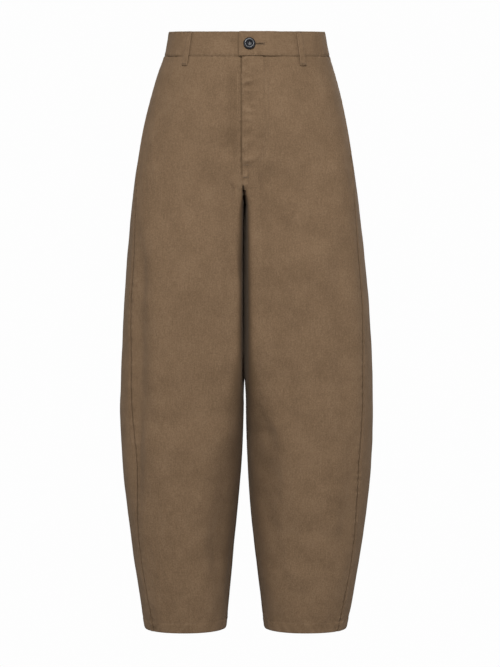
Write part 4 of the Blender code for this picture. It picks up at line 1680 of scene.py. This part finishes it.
@dataclass
class Trousers:
    """All the pieces, built in order from the panels to the button."""

    shop: Workshop
    nodes: dict[str, bpy.types.Object]
    front_columns: int = 92
    back_columns: int = 110
    panel_rows: int = 400
    panel_length: float = 913.0
    turn_up: float = 32.0
    end_allowance: float = 15.0
    side_allowances: float = 22.0
    allowance_area: float = 1.06
    least_area: float = 0.31
    band_overlaps: float = 35.0
    band_height: float = 40.0
    loop_size: tuple[float, float] = (10.0, 56.0)

    def build_panels(self) -> None:
        """Makes the four panels and their stitches, and logs each one's flat size and area."""
        seed = 11
        for side in (LEFT, RIGHT):
            for half, columns in ((Half.FRONT, self.front_columns), (Half.BACK, self.back_columns)):
                panel = Panel(side, half, seed)
                cloth = panel.cut(self.shop, columns, self.panel_rows)
                stitches = panel.stitch(self.shop)
                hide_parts(*[f"{panel.name}_{length}" for length in LENGTHS])
                length = self.panel_length + self.end_allowance + self.turn_up
                self.declare(cloth, [stitches], panel.table_run[:, -1].max() + self.side_allowances, length)
                seed += 1

    def declare(
        self, cloth: bpy.types.Object, pieces: list[bpy.types.Object], width: float, length: float
    ) -> None:
        """Works out a piece's flat size in mm and its area, and logs them.

        The area is the outer face's with an addition for seam allowances, and at most width times length.

        Args:
            cloth: the piece.
            pieces: its stitches; not used.
            width: the cut's widest width.
            length: the cut's length.
        """
        flat = (width * MM, length * MM)
        area = sum(face.area for face in cloth.data.polygons) / 2.0
        whole = flat[0] * flat[1]
        area = min(max(area * self.allowance_area, self.least_area * whole), whole)
        LOG.info("%s: flat %.3f by %.3f m, %.4f m2", cloth.name, *flat, area)

    def build_waist(self) -> Waistband:
        """Makes the waistband and its belt loops."""
        band = Waistband()
        cloth, stitches = band.cut(self.shop), band.stitch(self.shop)
        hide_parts("waistband")
        self.declare(cloth, [stitches], 2 * band.round_half + self.band_overlaps, self.band_height)
        places = (
            ("belt_loop_front_left", 0.228),
            ("belt_loop_back_left", 0.70),
            ("belt_loop_centre_back", 1.0),
            ("belt_loop_back_right", 1.30),
            ("belt_loop_front_right", 1.760),
        )
        for number, (node, around) in enumerate(places):
            strip, sewn = BeltLoop(node, around, 301 + number).cut(self.shop, band)
            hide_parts(node)
            self.declare(strip, [sewn], *self.loop_size)
        return band

    def build_fastening(self, band: Waistband) -> None:
        """Makes the button and gives the fly shield its cloth."""
        button, _ = Button().turn(self.shop, band)
        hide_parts("button")
        shield = self.nodes["fly_shield"]
        shield.data.materials.clear()
        shield.data.materials.append(self.shop.finishes[Slot.TWILL])


def main() -> None:
    """Builds the trousers and the studio."""
    logging.basicConfig(level=logging.INFO, format="%(name)s: %(message)s")
    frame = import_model()
    collection = bpy.data.collections.new("barrel_leg_trousers")
    bpy.context.scene.collection.children.link(collection)
    finishes = Finishes(ClothFinish(), ThreadFinish(), ButtonFinish())
    shop = Workshop(finishes, collection)
    trousers = Trousers(shop, frame["nodes"])
    trousers.build_panels()
    band = trousers.build_waist()
    trousers.build_fastening(band)
    Studio().build()
    LOG.info("triangles in all: %d", shop.triangles)
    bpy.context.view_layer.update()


if __name__ == "__main__":
    main()
